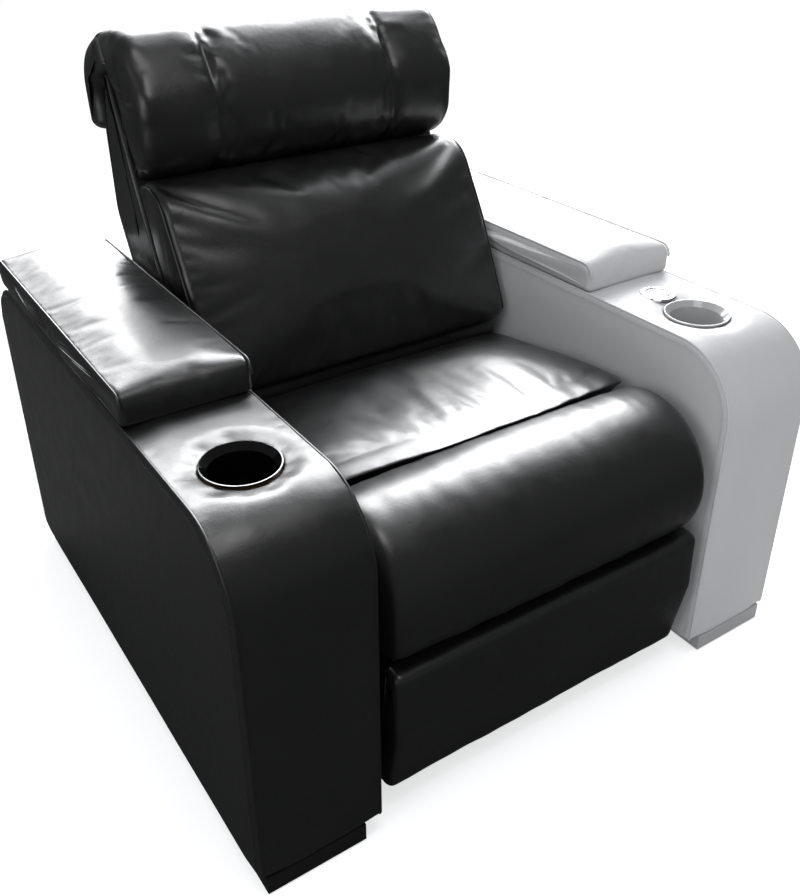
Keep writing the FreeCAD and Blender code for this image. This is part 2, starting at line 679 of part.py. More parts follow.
# Control in the left arm: housing, rocker disc on a cross pin, ring on the leather
control = ("half_gap + cup_across", "-control_forward", "deck_height")
socket = "(rocker_radius + rocker_gap)"
ring = [("%s" % socket, "0"), ("bezel_radius", "0"), ("bezel_radius", "bezel_height / 2"),
        ("bezel_radius - bezel_height / 2", "bezel_height"),
        ("%s + 1" % socket, "bezel_height"), (socket, "bezel_height - 1")]
node(turned("bezel_body", ring, *control), "control_bezel")
housing = [("0", "-switch_depth"), ("switch_radius", "-switch_depth"), ("switch_radius", "0"),
           ("switch_inner", "0"), ("switch_inner", "-switch_depth + 3"),
           ("0", "-switch_depth + 3")]
drop = "deck_height - rocker_pin_drop"
shell = turned("switch_body", housing, *control)
pin_bore = rod("switch_pin_bore", "X", control[0] + " - switch_radius", control[1], drop,
               "rocker_pin_radius", "2 * switch_radius")
node(cut("switch_bored", shell, [pin_bore]), "control_housing")
node(rod("switch_pin_bar", "X", control[0] + " - switch_radius + 0.5", control[1], drop,
         "rocker_pin_radius", "2 * switch_radius - 1"), "control_pin")
rise = "(rocker_thick - rocker_sink)"
disc = [("0", "-rocker_sink"), ("rocker_radius - 1", "-rocker_sink"),
        ("rocker_radius", "-rocker_sink + 1"), ("rocker_radius", rise + " - 3"),
        ("rocker_radius - 2", rise + " - 1.4"), ("rocker_radius * 0.6", rise + " - 0.3"),
        ("0", rise)]
cap = turned("rocker_body", disc, *control)
stem = box("rocker_stem_block", control[0] + " - rocker_stem", control[1] + " - rocker_stem / 2",
           drop + " - rocker_stem / 2", "2 * rocker_stem", "rocker_stem",
           "rocker_pin_drop - rocker_sink + rocker_stem / 2 + 1")
rocker_bore = rod("rocker_bore", "X", control[0] + " - 2 * rocker_stem", control[1], drop,
                  "rocker_pin_radius + run_gap", "4 * rocker_stem")
node(cut("rocker_bored", fuse("rocker_whole", [cap, stem]), [rocker_bore]), "control_rocker")

# Side plates: laser-cut steel, with one hub for the legrest and one for the back
for side, sign in SIDES:
    low, wide = across(sign, "plate_in", "plate_out")
    outline = [
        ("-plate_foot", "plate_clear"), ("plate_foot", "plate_clear"),
        ("plate_foot", "plate_clear + 130"), ("back_behind + hub_half", "back_axis - 20"),
        ("back_behind + hub_half", "back_axis + hub_half"),
        ("back_behind - hub_half", "back_axis + hub_half"),
        ("back_behind - hub_half", "plate_shoulder"),
        ("-legrest_forward + 2 * hub_half", "plate_shoulder"),
        ("-legrest_forward + hub_half", "legrest_axis + hub_half"),
        ("-legrest_forward - hub_half", "legrest_axis + hub_half"),
        ("-legrest_forward - hub_half", "legrest_axis - hub_half"),
    ]
    corners = [(y, z, "hub_half - 4") for y, z in (outline[4], outline[5], outline[9], outline[10])]
    corners += [(y, z, "20") for y, z in (outline[0], outline[1], outline[2], outline[6])]
    bored = "bush_radius"
    holes = [("-legrest_forward", "legrest_axis", bored), ("back_behind", "back_axis", bored)]
    holes += [(y, z, "bolt_radius + fit_gap") for y, z in BOLTS]
    holes += [("-bolt_y", "(bolt_low + bolt_high) / 2 + 5", "plate_hole"),
              ("bolt_y - 75", "bolt_high - 10", "plate_hole"),
              ("-legrest_forward + 130", "legrest_axis - 40", "plate_hole * 0.7"),
              ("40", "bolt_low + 10", "plate_hole")]
    plate = side_board(side + "_plate_body", low, wide, outline, corners, holes)
    node(plate, side + "_side_plate")

# Nylon bushes, flanged on the inside, in the plate hubs
for name, y, z in (("legrest", "-legrest_forward", "legrest_axis"),
                   ("back", "back_behind", "back_axis")):
    bushes = []
    for side, sign in SIDES:
        low, wide = across(sign, "plate_in", "plate_out")
        sleeve = rod("%s_%s_sleeve" % (name, side), "X", low, y, z, "bush_radius", wide)
        low, wide = across(sign, "plate_in - bush_flange_thick", "plate_in")
        flange = rod("%s_%s_flange" % (name, side), "X", low, y, z, "bush_flange", wide)
        low, wide = across(sign, "plate_in - 10", "half_gap")
        bore = rod("%s_%s_bush_bore" % (name, side), "X", low, y, z,
                   "shaft_radius + run_gap", wide)
        whole = fuse("%s_%s_bush_whole" % (name, side), [sleeve, flange])
        bushes.append(cut("%s_%s_bush" % (name, side), whole, [bore]))
    node(group(name + "_bush_pair", bushes), name + "_bushes")


def slotted_lever(name, x, thick, axis, first, throw, swing, rate, play):
    """A lever on a shaft with a radial slot, drawn from formulas and turned to rest."""
    body = doc.addObject("PartDesign::Body", name)
    far = "%s / cos(%s / 2) * 1.03" % (throw, swing)
    half = "pin_radius + %s" % play
    outline = sketch_on(body, name + "_outline", "YZ_Plane", "0")
    end = "-(%s + pin_radius + slot_end + pin_wall)" % far
    polygon(outline, [("-lever_half", "lever_half"), ("-lever_half", end), ("lever_half", end),
                      ("lever_half", "lever_half")])
    pad = body.newObject("PartDesign::Pad", name + "_pad")
    pad.Profile = outline
    bind(pad, Length=thick)
    doc.recompute()
    round_corners(body, [(y, z, "lever_half - 3") for z in ("lever_half", end)
                         for y in ("-lever_half", "lever_half")])
    slot = sketch_on(body, name + "_slot", "YZ_Plane", "0")
    near = "-(%s - pin_radius - slot_end)" % throw
    deep = "-(%s + pin_radius + slot_end)" % far
    polygon(slot, [("-(%s)" % half, near), ("-(%s)" % half, deep), (half, deep), (half, near)])
    pocket = body.newObject("PartDesign::Pocket", name + "_slot_cut")
    pocket.Profile = slot
    pocket.Reversed = True
    pocket.Type = "ThroughAll"
    doc.recompute()
    round_corners(body, [(y, z, "pin_radius - 1") for z in (near, deep)
                         for y in ("-(%s)" % half, half)])
    turn = FreeCAD.Rotation(V(1, 0, 0), first)
    body.Placement = FreeCAD.Placement(V(val(x), axis[0], axis[1]), turn)
    return body


def collars(name, y, z):
    """Two collars that keep a shaft between the side plates."""
    pieces = []
    for side, sign in SIDES:
        inside = "plate_in - bush_flange_thick - fit_gap"
        low, wide = across(sign, inside + " - collar_width", inside)
        pieces.append(rod("%s_%s_collar" % (name, side), "X", low, y, z, "collar_radius", wide))
    return pieces


# Legrest shaft: a steel tube through both plates with one slotted lever
shaft_end = "(half_gap - 2)"
shaft = rod("legrest_tube", "X", "-" + shaft_end, "-legrest_forward", "legrest_axis",
            "shaft_radius", "2 * " + shaft_end)
shaft_bore = rod("legrest_tube_bore", "X", "-half_gap", "-legrest_forward", "legrest_axis",
                 "shaft_radius - tube_wall", "2 * half_gap")
lever_first = val("legrest_swing / 2 - legrest_tilt")
levers = []
for index, offset in enumerate(("-act_offset - eye_half - fit_gap - bracket_thick",
                                "-act_offset + eye_half + fit_gap")):
    levers.append(slotted_lever("legrest_lever_%d" % index, offset, "bracket_thick", LEGREST,
                                lever_first, "legrest_throw", "legrest_swing",
                                "legrest_rate", "legrest_play"))
whole = fuse("legrest_shaft_whole",
             [shaft] + levers + collars("legrest", "-legrest_forward", "legrest_axis"))
node(cut("legrest_shaft_cut", whole, [shaft_bore]), "legrest_shaft")

# Front roll: foam and leather over the curved board, concentric with the shaft
top = val("roll_top")
low = -val("roll_low")
middle = (top + low) / 2
outer = val("roll_radius")
inner = val("roll_inner")


def roll_form():
    """The roll keeps its bore: only the outer arc swells and draws in."""
    half = val("roll_half")
    edge = val("roll_round")
    draw = val("roll_draw")
    stations = [(half, draw + edge), (half - 0.3 * edge, draw + 0.3 * edge),
                (half - edge, draw), (half * 0.5, 0.3 * draw), (0.0, 0.0)]
    places = [(-across, inset) for across, inset in stations]
    places += [(across, inset) for across, inset in reversed(stations[:-1])]
    wires = []
    for across, inset in places:
        radius = outer - inset
        ends = [(inner, low), (radius, low), (radius, middle), (radius, top),
                (inner, top), (inner, middle)]
        a, b, c, d, e, f = [V(across, *polar(LEGREST, r, t)) for r, t in ends]
        edges = [Part.LineSegment(a, b).toShape(), Part.Arc(b, c, d).toShape(),
                 Part.LineSegment(d, e).toShape(), Part.Arc(e, f, a).toShape()]
        wires.append(Part.Wire(edges))
    return Part.makeLoft(wires, True, True)


node(made("roll_shape", roll_form()), "legrest_roll")

# Lower panel: a padded board that hangs below the roll and leans back at its foot
front = -val("panel_front")
foot = val("panel_bottom")
lean = val("panel_lean")
rounding = val("panel_round")
head_z = polar(LEGREST, outer, low)[1] - val("panel_clear")
back = -val("panel_back")
waist = (head_z + foot) / 2
outline = blunted([
    (back, head_z, 0), (back + lean, foot, 0), (front + lean, foot, rounding),
    (front, waist + val("panel_waist"), 4 * rounding), (front + 3, head_z, rounding),
])
form = cushion(outline, 0.0, val("panel_half"), (back + lean / 2, waist), rounding, 0.0)
node(made("panel_shape", form), "legrest_panel")

# Legrest board: one sheet of plywood, bent round the roll and straight down the panel


def arc_edge(radius, start, end, x):
    points = [polar(LEGREST, radius, t) for t in (start, (start + end) / 2, end)]
    return Part.Arc(*[V(x, *p) for p in points]).toShape()


def line_edge(a, b, x):
    return Part.LineSegment(V(x, *a), V(x, *b)).toShape()


def prism(wire, width):
    return Part.Face(wire).extrude(V(width, 0, 0))


board_half = val("legrest_board_half")
skin_out = val("skin_outer")
skin_in = val("skin_inner")
board_gap = val("fit_gap")
board_thick = val("skin_thick")
head = (back + board_gap, head_z)
toe = (back + board_gap + lean, foot + 4)
slope = (toe[0] - head[0]) / (toe[1] - head[1])
low_out = polar(LEGREST, skin_out, low)
low_in = polar(LEGREST, skin_in, low)
top_line = (head[0] + slope * (low_out[1] - head[1]), low_out[1])
edges = [
    arc_edge(skin_out, top, low, -board_half),
    line_edge(low_out, head, -board_half),
    line_edge(head, toe, -board_half),
    line_edge(toe, (toe[0] + board_thick, toe[1]), -board_half),
    line_edge((toe[0] + board_thick, toe[1]), (head[0] + board_thick, head[1]), -board_half),
    line_edge((head[0] + board_thick, head[1]), low_in, -board_half),
    arc_edge(skin_in, low, top, -board_half),
    line_edge(polar(LEGREST, skin_in, top), polar(LEGREST, skin_out, top), -board_half),
]
board = prism(Part.Wire(edges), 2 * board_half)
node(made("board_shape", board), "legrest_board")

# Steel brackets from the shaft to the board, and plywood cheeks that close the ends
brackets = []
hub = val("collar_radius") + 8
leg = head[1] - val("bracket_leg")
knee = (head[0] + board_thick, head[1])
heel = (knee[0] + slope * (leg - knee[1]), leg)
reach = math.sqrt(skin_in ** 2 - hub ** 2)
shaft_hole = val("shaft_radius")
for index, sign in enumerate((-1, 1)):
    x = sign * val("bracket_out") - val("bracket_thick") / 2
    points = [(LEGREST[0] + hub, LEGREST[1] - hub), (LEGREST[0] + hub, LEGREST[1] + hub),
              (LEGREST[0] - reach, LEGREST[1] + hub), (LEGREST[0] - reach, LEGREST[1] - hub),
              low_in, knee, heel, (heel[0] + 16, heel[1])]
    edges = [line_edge(points[i], points[(i + 1) % len(points)], x) for i in range(len(points))]
    plate = prism(Part.Wire(edges), val("bracket_thick"))
    bore = Part.makeCylinder(shaft_hole, val("bracket_thick"), V(x, *LEGREST), V(1, 0, 0))
    brackets.append(plate.cut(bore))
node(made("bracket_pair", Part.makeCompound(brackets)), "legrest_brackets")

cheeks = []
for sign in (-1, 1):
    thick = val("cheek_thick")
    x = board_half if sign > 0 else -board_half - thick
    rear = (LEGREST[0] + hub + 6, LEGREST[1])
    edges = [
        arc_edge(skin_out, top, low, x),
        line_edge(low_out, head, x),
        line_edge(head, toe, x),
        line_edge(toe, (toe[0] + 24, toe[1]), x),
        line_edge((toe[0] + 24, toe[1]), rear, x),
        line_edge(rear, polar(LEGREST, skin_out, top), x),
    ]
    cheek = prism(Part.Wire(edges), thick)
    bore = Part.makeCylinder(shaft_hole, thick, V(x, *LEGREST), V(1, 0, 0))
    cheeks.append(cheek.cut(bore))
node(made("cheek_pair", Part.makeCompound(cheeks)), "legrest_cheeks")

# Seat: steel rails between the plates, elastic straps and the crowned cushion
rail_inner = "(plate_in - rail_side)"
span = "(rail_front + rail_rear)"
rails = []
for side, sign in SIDES:
    low, wide = across(sign, rail_inner, "plate_in")
    rails.append(box(side + "_seat_rail", low, "-rail_front", "rail_under", wide, span,
                     "rail_tall"))
node(group("seat_rail_pair", rails), "seat_side_rails")
node(box("seat_rail_front", "-" + rail_inner, "-rail_front", "rail_under",
         "2 * " + rail_inner, "rail_wide", "rail_tall"), "seat_front_rail")
node(box("seat_rail_rear", "-" + rail_inner, "rail_rear - rail_wide", "rail_under",
         "2 * " + rail_inner, "rail_wide", "rail_tall"), "seat_rear_rail")
straps = []
count = int(val("seat_straps"))
for index in range(count):
    pitch = "2 * (rail_wide + %s) / (seat_straps + 2)" % rail_inner
    x = "(%g) * %s - web_wide / 2" % (index - (count - 1) / 2, pitch)
    straps.append(box("seat_strap_%d" % index, x, "-rail_front", "rail_top", "web_wide", span,
                      "web_thick"))
node(group("seat_strap_set", straps), "seat_webbing")


def seat_section(x, inset):
    """One outline of the seat cushion: its top sinks by inset, its underside stays flat,
    and its front stays on the circle that the roll turns in."""
    under = val("seat_under")
    rear = val("seat_back_end")
    crease = val("seat_crease")
    crest_y = -val("seat_crest_forward")
    turn = val("roll_radius + seat_clear")
    crest_z = polar(LEGREST, turn, val("roll_top"))[1] + val("seat_swell")
    share = 1 - inset / (crest_z - under)

    def sunk(y, z):
        return V(x, y, under + (z - under) * share)

    def on_circle(degrees):
        return V(x, *polar(LEGREST, turn, degrees))

    seam_z = sunk(0, polar(LEGREST, turn, val("roll_top"))[1]).z
    seam_angle = 180 - math.degrees(math.asin((seam_z - LEGREST[1]) / turn))
    foot_angle = 180 + math.degrees(math.asin((LEGREST[1] - under) / turn))
    seam = on_circle(seam_angle)
    foot = on_circle(foot_angle)
    brow_z = sunk(0, crest_z).z * 0.78 + seam.z * 0.22
    crest = sunk(crest_y, crest_z)
    edges = [
        Part.LineSegment(foot, V(x, rear - 6, under)),
        Part.LineSegment(V(x, rear - 6, under), sunk(rear, crease - 14)),
        Part.Arc(sunk(rear, crease - 14), sunk(rear - 4, crease - 4), sunk(rear - 12, crease)),
        Part.Arc(sunk(rear - 12, crease),
                 sunk((rear + crest_y) / 2, crease * 0.28 + crest_z * 0.72), crest),
        Part.Arc(crest, V(x, (crest_y + seam.y) / 2, brow_z), seam),
        Part.Arc(seam, on_circle((seam_angle + foot_angle) / 2), foot),
    ]
    return Part.Wire([edge.toShape() for edge in edges])


half = val("seat_half")
droop = val("seat_droop")
stations = [(half, droop + 14), (half - 4, droop + 5), (half - 14, droop - 3),
            (half - 60, droop * 0.5), (half * 0.45, droop * 0.12), (0.0, 0.0)]
places = [(-across_x, inset) for across_x, inset in stations]
places += [(across_x, inset) for across_x, inset in reversed(stations[:-1])]
sections = [seat_section(x, inset) for x, inset in places]
node(made("seat_shape", Part.makeLoft(sections, True, True)), "seat_cushion")

# Back, drawn upright with its axis at the origin (Y rearward) and then leaned
BACK_PLACE = FreeCAD.Placement(V(0, *BACK), FreeCAD.Rotation(V(1, 0, 0), -val("back_lean")))
plane = val("shaft_radius - web_thick - fit_gap")
PLANE = "(shaft_radius - web_thick - fit_gap)"


def leaned(thing):
    thing.Placement = BACK_PLACE
    return thing


def leaned_form(outline, half, anchor, edge):
    """A soft form of the back, from (forward, up) points, leaned to rest."""
    turned_round = [tuple((-forward, up) for forward, up in piece) for piece in outline]
    form = cushion(turned_round, 0.0, half, (-anchor[0], anchor[1]), edge, 0.0)
    form.Placement = BACK_PLACE
    return form


# Back tube: turns in the bushes and carries the slotted fork for the back actuator
tube = rod("back_tube_bar", "X", "-" + shaft_end, "back_behind", "back_axis",
           "shaft_radius", "2 * " + shaft_end)
tube_bore = rod("back_tube_bore", "X", "-half_gap", "back_behind", "back_axis",
                "shaft_radius - tube_wall", "2 * half_gap")
lever_first = val("back_tilt + back_swing / 2")
levers = []
for index, offset in enumerate(("act_offset - eye_half - fit_gap - bracket_thick",
                                "act_offset + eye_half + fit_gap")):
    levers.append(slotted_lever("back_lever_%d" % index, offset, "bracket_thick", BACK,
                                lever_first, "back_throw", "back_swing", "back_rate",
                                "back_play"))
whole = fuse("back_tube_whole", [tube] + levers + collars("back", "back_behind", "back_axis"))
node(cut("back_tube_cut", whole, [tube_bore]), "back_tube")

# Back frame: two side members and three rails, with brackets down to the tube
member_in = "(member_out - member_wide)"
members = []
for side, sign in SIDES:
    low, wide = across(sign, member_in, "member_out")
    members.append(box(side + "_back_member", low, "shaft_radius", "-member_foot", wide,
                       "member_deep", "member_top + member_foot"))
for index, up in enumerate(("2 * member_foot", "member_top / 2", "member_top - back_rail")):
    members.append(box("back_rail_%d" % index, "-" + member_in, "shaft_radius", up,
                       "2 * " + member_in, "member_deep", "back_rail"))
node(leaned(fuse("back_frame_whole", members)), "back_frame")
brackets = []
for side, sign in SIDES:
    low, wide = across(sign, member_in + " - bracket_thick", member_in)
    hub = "(collar_radius - 2)"
    outline = [("-" + hub, "-" + hub), ("shaft_radius + member_deep", "-" + hub),
               ("shaft_radius + member_deep", "38"), ("shaft_radius", "38"),
               ("shaft_radius", hub), ("-" + hub, hub)]
    corners = [("-" + hub, "-" + hub, "10"), ("-" + hub, hub, "10")]
    holes = [("0", "0", "shaft_radius")]
    plate = side_board(side + "_back_bracket", low, wide, outline, corners, holes)
    brackets.append(leaned(plate))
node(group("back_bracket_pair", brackets), "back_brackets")
straps = []
count = int(val("back_straps"))
for index in range(count):
    up = "4 * member_foot + %d * (member_top - 6 * member_foot) / back_straps" % index
    strap = box("back_strap_%d" % index, "-member_out", "shaft_radius - web_thick", up,
                "2 * member_out", "web_thick", "web_wide")
    straps.append(strap)
node(leaned(group("back_strap_set", straps)), "back_webbing")

# Back shell: padded side panels and rear, open to the front cushion and below
rear_low = ("shell_low_deep", "-shell_low")
rear_high = ("shell_deep", "shell_deep_up")
neck = ("shell_neck_deep", "shell_neck")
rim = ("shell_top_deep", "shell_top")
outline = [(PLANE, "-shell_skirt"), rear_low, rear_high, neck, rim, (PLANE, "shell_top")]
corners = [rear_low + ("shell_bend / 2",), rear_high + ("shell_bend",),
           neck + ("shell_bend * 0.8",)]
casing = leaned(side_board("back_casing", "-back_half", "2 * back_half", outline, corners))
skirt = "-2 * shell_skirt"
ceiling = "shell_top - 1.4 * shell_wall"
inside = [("0", skirt), ("shell_low_deep - shell_wall", skirt),
          ("shell_low_deep - shell_wall", "-shell_low"),
          ("shell_deep - shell_wall", "shell_deep_up"),
          ("shell_neck_deep - 0.7 * shell_wall", "shell_neck - 0.7 * shell_wall"),
          ("shell_top_deep", ceiling), ("0", ceiling)]
corners = [inside[3] + ("shell_bend - shell_wall",),
           inside[4] + ("shell_bend * 0.8 - shell_wall",)]
room = leaned(side_board("back_room", "-(back_half - shell_wall)",
                         "2 * (back_half - shell_wall)", inside, corners))
notch = rod("back_notch", "X", "-half_gap", "back_behind", "back_axis",
            "collar_radius + 1", "2 * half_gap")
node(cut("back_shell_cut", casing, [room, notch]), "back_shell")

# Back cushion: a foam block whose foot is round about the axis, clear of the seat
deep = val("back_foam")
turn = val("back_turn")
shelf = -val("back_shelf")
outline = blunted([
    (-plane, -val("back_foot"), 0), (turn, -val("back_foot"), 0.78 * turn), (turn, shelf, 0),
    (deep, shelf, val("back_toe")), (deep, val("back_waist"), 5 * deep),
    (deep - val("back_brow"), val("back_top"), 0.72 * deep), (-plane, val("back_top") + 6, 0),
])
form = leaned_form(outline, val("back_half"), (-plane, val("back_waist")), val("back_round"))
groove = Part.makeCylinder(val("back_groove"), 2 * val("half_gap"),
                           V(-val("half_gap"), *BACK), V(1, 0, 0))
node(made("back_cushion_shape", form.cut(groove)), "back_cushion")

# Head pillow: a fat front roll over the top of the back, with a flap hanging behind
split = -val("head_split")
foot = val("head_foot")
peak = val("head_top")
soft = val("head_soft")
saddle = val("shell_top + 5")
outline = blunted([
    (-plane, foot, 0), (val("head_chin"), foot + 4, soft),
    (val("head_front"), val("head_front_up"), 0.75 * soft),
    (val("head_brow"), val("head_brow_up"), soft), (split, peak, 0), (split, saddle, 0),
    (-plane, saddle, 0),
])
form = leaned_form(outline, val("head_half"), (-plane, saddle), val("head_round"))
node(made("head_roll_shape", form), "headrest_roll")
split = split - val("fit_gap")
hem = val("flap_hem")
deep = -val("flap_deep")
thick = val("flap_thick")
lean = val("flap_lean")
soft = val("flap_soft")
outline = blunted([
    (split, peak, 0), (deep + lean, peak, soft), (deep, hem, 0.22 * soft),
    (deep + thick, hem - 6, 0.12 * soft), (deep + thick + 0.45 * lean, saddle - 2, 0.5 * soft),
    (split, saddle, 0),
])
form = leaned_form(outline, val("head_half"), ((split + deep) / 2, saddle), val("head_round"))
node(made("head_flap_shape", form), "headrest_flap")

# Actuators: guide tube, gearbox and motor on a cross tube, rod with eye and cross pin.
# Each is drawn along Y from its pin at rest towards its motor and then turned to its line.


def actuator(name, sign, axis, throw, tilt, turn, reach, mouth, grip):
    """Place one actuator so that its pin sits in the slot of its lever at rest."""
    slope = math.radians(tilt)
    heading = math.radians(turn)
    rise = 1 if turn > 90 else -1
    foot = (axis[0] + rise * throw * math.sin(slope), axis[1] - throw * math.cos(slope))
    pin = (foot[0] + reach * math.cos(slope), foot[1] + rise * reach * math.sin(slope))
    middle = "%d * act_offset" % sign
    place = FreeCAD.Placement(V(0, *pin), FreeCAD.Rotation(V(1, 0, 0), turn))
    tube = rod(name + "_guide", "Y", middle, mouth, "0", "act_radius", "act_tube + 1")
    start = mouth + " + act_tube"
    case = box(name + "_gearbox", middle + " - gearbox_half", start, "-gearbox_half",
               "2 * gearbox_half", "gearbox_long", "2 * gearbox_half")
    housing = rounded(name + "_gearcase", case, lambda edge: edge.BoundBox.YLength > 1,
                      "supply_edge")
    low, wide = across(sign, "act_offset + gearbox_half - 1",
                       "act_offset + gearbox_half + motor_long")
    motor = rod(name + "_motor_can", "X", low, start + " + gearbox_long / 2", "0",
                "motor_radius", wide)
    back = start + " + gearbox_long"
    lug = box(name + "_lug", middle + " - eye_half", back + " - 1", "-(pin_radius + pin_wall)",
              "2 * eye_half", "mount_reach - pin_radius - pin_wall + 1",
              "2 * (pin_radius + pin_wall)")
    eye = rod(name + "_lug_eye", "X", middle + " - eye_half",
              back + " + mount_reach - pin_radius - pin_wall", "0", "pin_radius + pin_wall",
              "2 * eye_half")
    whole = fuse(name + "_unit_whole", [tube, housing, motor, lug, eye])
    bore = rod(name + "_rod_bore", "Y", middle, mouth + " - 1", "0", "rod_radius + rod_gap",
               "act_tube - 2")
    hole = rod(name + "_lug_bore", "X", middle + " - 2 * eye_half",
               back + " + mount_reach - pin_radius - pin_wall", "0", "pin_radius + run_gap",
               "4 * eye_half")
    unit = cut(name + "_unit_cut", whole, [bore, hole])
    unit.Placement = place
    node(unit, name + "_actuator")

    bar = rod(name + "_rod_bar", "Y", middle, "pin_radius", "0", "rod_radius",
              "%s + %s - pin_radius" % (mouth, grip))
    head = rod(name + "_rod_head", "X", middle + " - eye_half", "0", "0",
               "pin_radius + pin_wall", "2 * eye_half")
    half_pin = "(eye_half + fit_gap + bracket_thick + 3)"
    cross = rod(name + "_cross_pin", "X", "%s - %s" % (middle, half_pin), "0", "0",
                "pin_radius", "2 * " + half_pin)
    moving = fuse(name + "_rod_whole", [bar, head, cross])
    moving.Placement = place
    node(moving, name + "_rod")

    distance = val(back + " + mount_reach - pin_radius - pin_wall")
    return (pin[0] + distance * math.cos(heading), pin[1] + distance * math.sin(heading))


legrest_mount = actuator("legrest", -1, LEGREST, val("legrest_throw"), val("legrest_tilt"),
                         -val("legrest_tilt"), val("legrest_reach"), "legrest_mouth",
                         "rod_grip")
back_mount = actuator("back", 1, BACK, val("back_throw"), val("back_tilt"),
                      180 + val("back_tilt"), val("back_reach"), "back_mouth", "back_grip")

# Cross tube between the side plates, with a pair of ears and a pin for each actuator
beam = box("motor_beam", "-plate_in", "-motor_tube_y - motor_tube / 2", "motor_tube_z",
           "2 * plate_in", "motor_tube", "motor_tube")
bore = box("motor_beam_bore", "-plate_in", "-motor_tube_y - motor_tube / 2 + runner_wall",
           "motor_tube_z + runner_wall", "2 * plate_in", "motor_tube - 2 * runner_wall",
           "motor_tube - 2 * runner_wall")
node(cut("motor_beam_cut", beam, [bore]), "actuator_cross_tube")
beam_top = val("motor_tube_z + motor_tube")
ears = []
pins = []
ear = val("bracket_thick")
wall = val("pin_radius + pin_wall")
for sign, mount in ((-1, legrest_mount), (1, back_mount)):
    for face in (-1, 1):
        middle = sign * val("act_offset") + face * (val("eye_half + fit_gap") + ear / 2)
        plate = Part.makeBox(ear, 2 * wall, mount[1] - beam_top,
                             V(middle - ear / 2, mount[0] - wall, beam_top))
        disc = Part.makeCylinder(wall, ear, V(middle - ear / 2, *mount), V(1, 0, 0))
        hole = Part.makeCylinder(val("pin_radius"), ear, V(middle - ear / 2, *mount), V(1, 0, 0))
        ears.append(plate.fuse(disc).cut(hole))
    half = val("eye_half + fit_gap") + ear + 3
    start = V(sign * val("act_offset") - half, *mount)
    pins.append(Part.makeCylinder(val("pin_radius"), 2 * half, start, V(1, 0, 0)))
node(made("actuator_ear_set", Part.makeCompound(ears)), "actuator_ears")
node(made("actuator_pin_set", Part.makeCompound(pins)), "actuator_pins")


# Base: square floor runners inside the plates, two cross tubes and four bolt-down feet
def square_tube(name, x, y, z, dx, dy, along):
    """A welded square tube along X or Y, open at both ends."""
    outer = box(name + "_outer", x, y, z, dx, dy, "runner_side")
    if along == "X":
        inner = box(name + "_inner", x, "%s + runner_wall" % y, "%s + runner_wall" % z, dx,
                    "%s - 2 * runner_wall" % dy, "runner_side - 2 * runner_wall")
    else:
        inner = box(name + "_inner", "%s + runner_wall" % x, y, "%s + runner_wall" % z,
                    "%s - 2 * runner_wall" % dx, dy, "runner_side - 2 * runner_wall")
    return cut(name + "_tube", outer, [inner])


runner_in = "(plate_in - runner_side)"
feet = []
for side, sign in SIDES:
    low, wide = across(sign, runner_in, "plate_in")
    node(square_tube(side + "_runner", low, "-runner_end", "foot_thick", wide,
                     "2 * runner_end", "Y"), side + "_floor_runner")
    for index, end in enumerate((-1, 1)):
        low, wide = across(sign, runner_in + " - foot_wide", "plate_in")
        y = "%d * foot_bolt_y / 2 - foot_long / 2" % end
        plate = box("%s_foot_%d" % (side, index), low, y, "0", wide, "foot_long", "foot_thick")
        hole = rod("%s_foot_hole_%d" % (side, index), "Z", "%d * foot_bolt_x / 2" % sign,
                   "%d * foot_bolt_y / 2" % end, "-1", "foot_hole", "foot_thick + 2")
        feet.append(cut("%s_foot_bored_%d" % (side, index), plate, [hole]))
node(group("foot_set", feet), "floor_feet")
for name, sign in (("front", -1), ("rear", 1)):
    y = "%d * base_tube_y - runner_side / 2" % sign
    node(square_tube(name + "_base", "-" + runner_in, y, "foot_thick", "2 * " + runner_in,
                     "runner_side", "X"), name + "_base_tube")

# Power supply on the rear base tube, with its inlet socket at the rear
inlet_x = "-inlet_half"
supply_rear = "base_tube_y + supply_wide / 2"
inlet_z = "runner_top + (supply_tall - inlet_tall) / 2"
case = box("supply_case", "-supply_long / 2", "base_tube_y - supply_wide / 2", "runner_top",
           "supply_long", "supply_wide", "supply_tall")
case = rounded("supply_round", case, lambda edge: edge.BoundBox.ZLength > 1, "supply_edge")
seat = box("supply_seat", inlet_x, supply_rear + " - inlet_deep", inlet_z, "2 * inlet_half",
           "inlet_deep", "inlet_tall")
node(cut("supply_cut", case, [seat]), "power_supply")
socket = box("inlet_block", inlet_x, supply_rear + " - inlet_deep", inlet_z, "2 * inlet_half",
             "inlet_deep", "inlet_tall")
recess = box("inlet_recess", inlet_x + " + inlet_wall",
             supply_rear + " - inlet_deep + inlet_wall", inlet_z + " + inlet_wall",
             "2 * (inlet_half - inlet_wall)", "inlet_deep", "inlet_tall - 2 * inlet_wall")
shell = cut("inlet_shell", socket, [recess])
blades = [rod("inlet_blade_%d" % i, "Y", "%d * inlet_half / 2.4" % s,
              supply_rear + " - inlet_deep + 1", inlet_z + " + inlet_tall / 2", "1.2",
              "inlet_deep - 4") for i, s in enumerate((-1, 1))]
node(fuse("inlet_whole", [shell] + blades), "power_inlet")

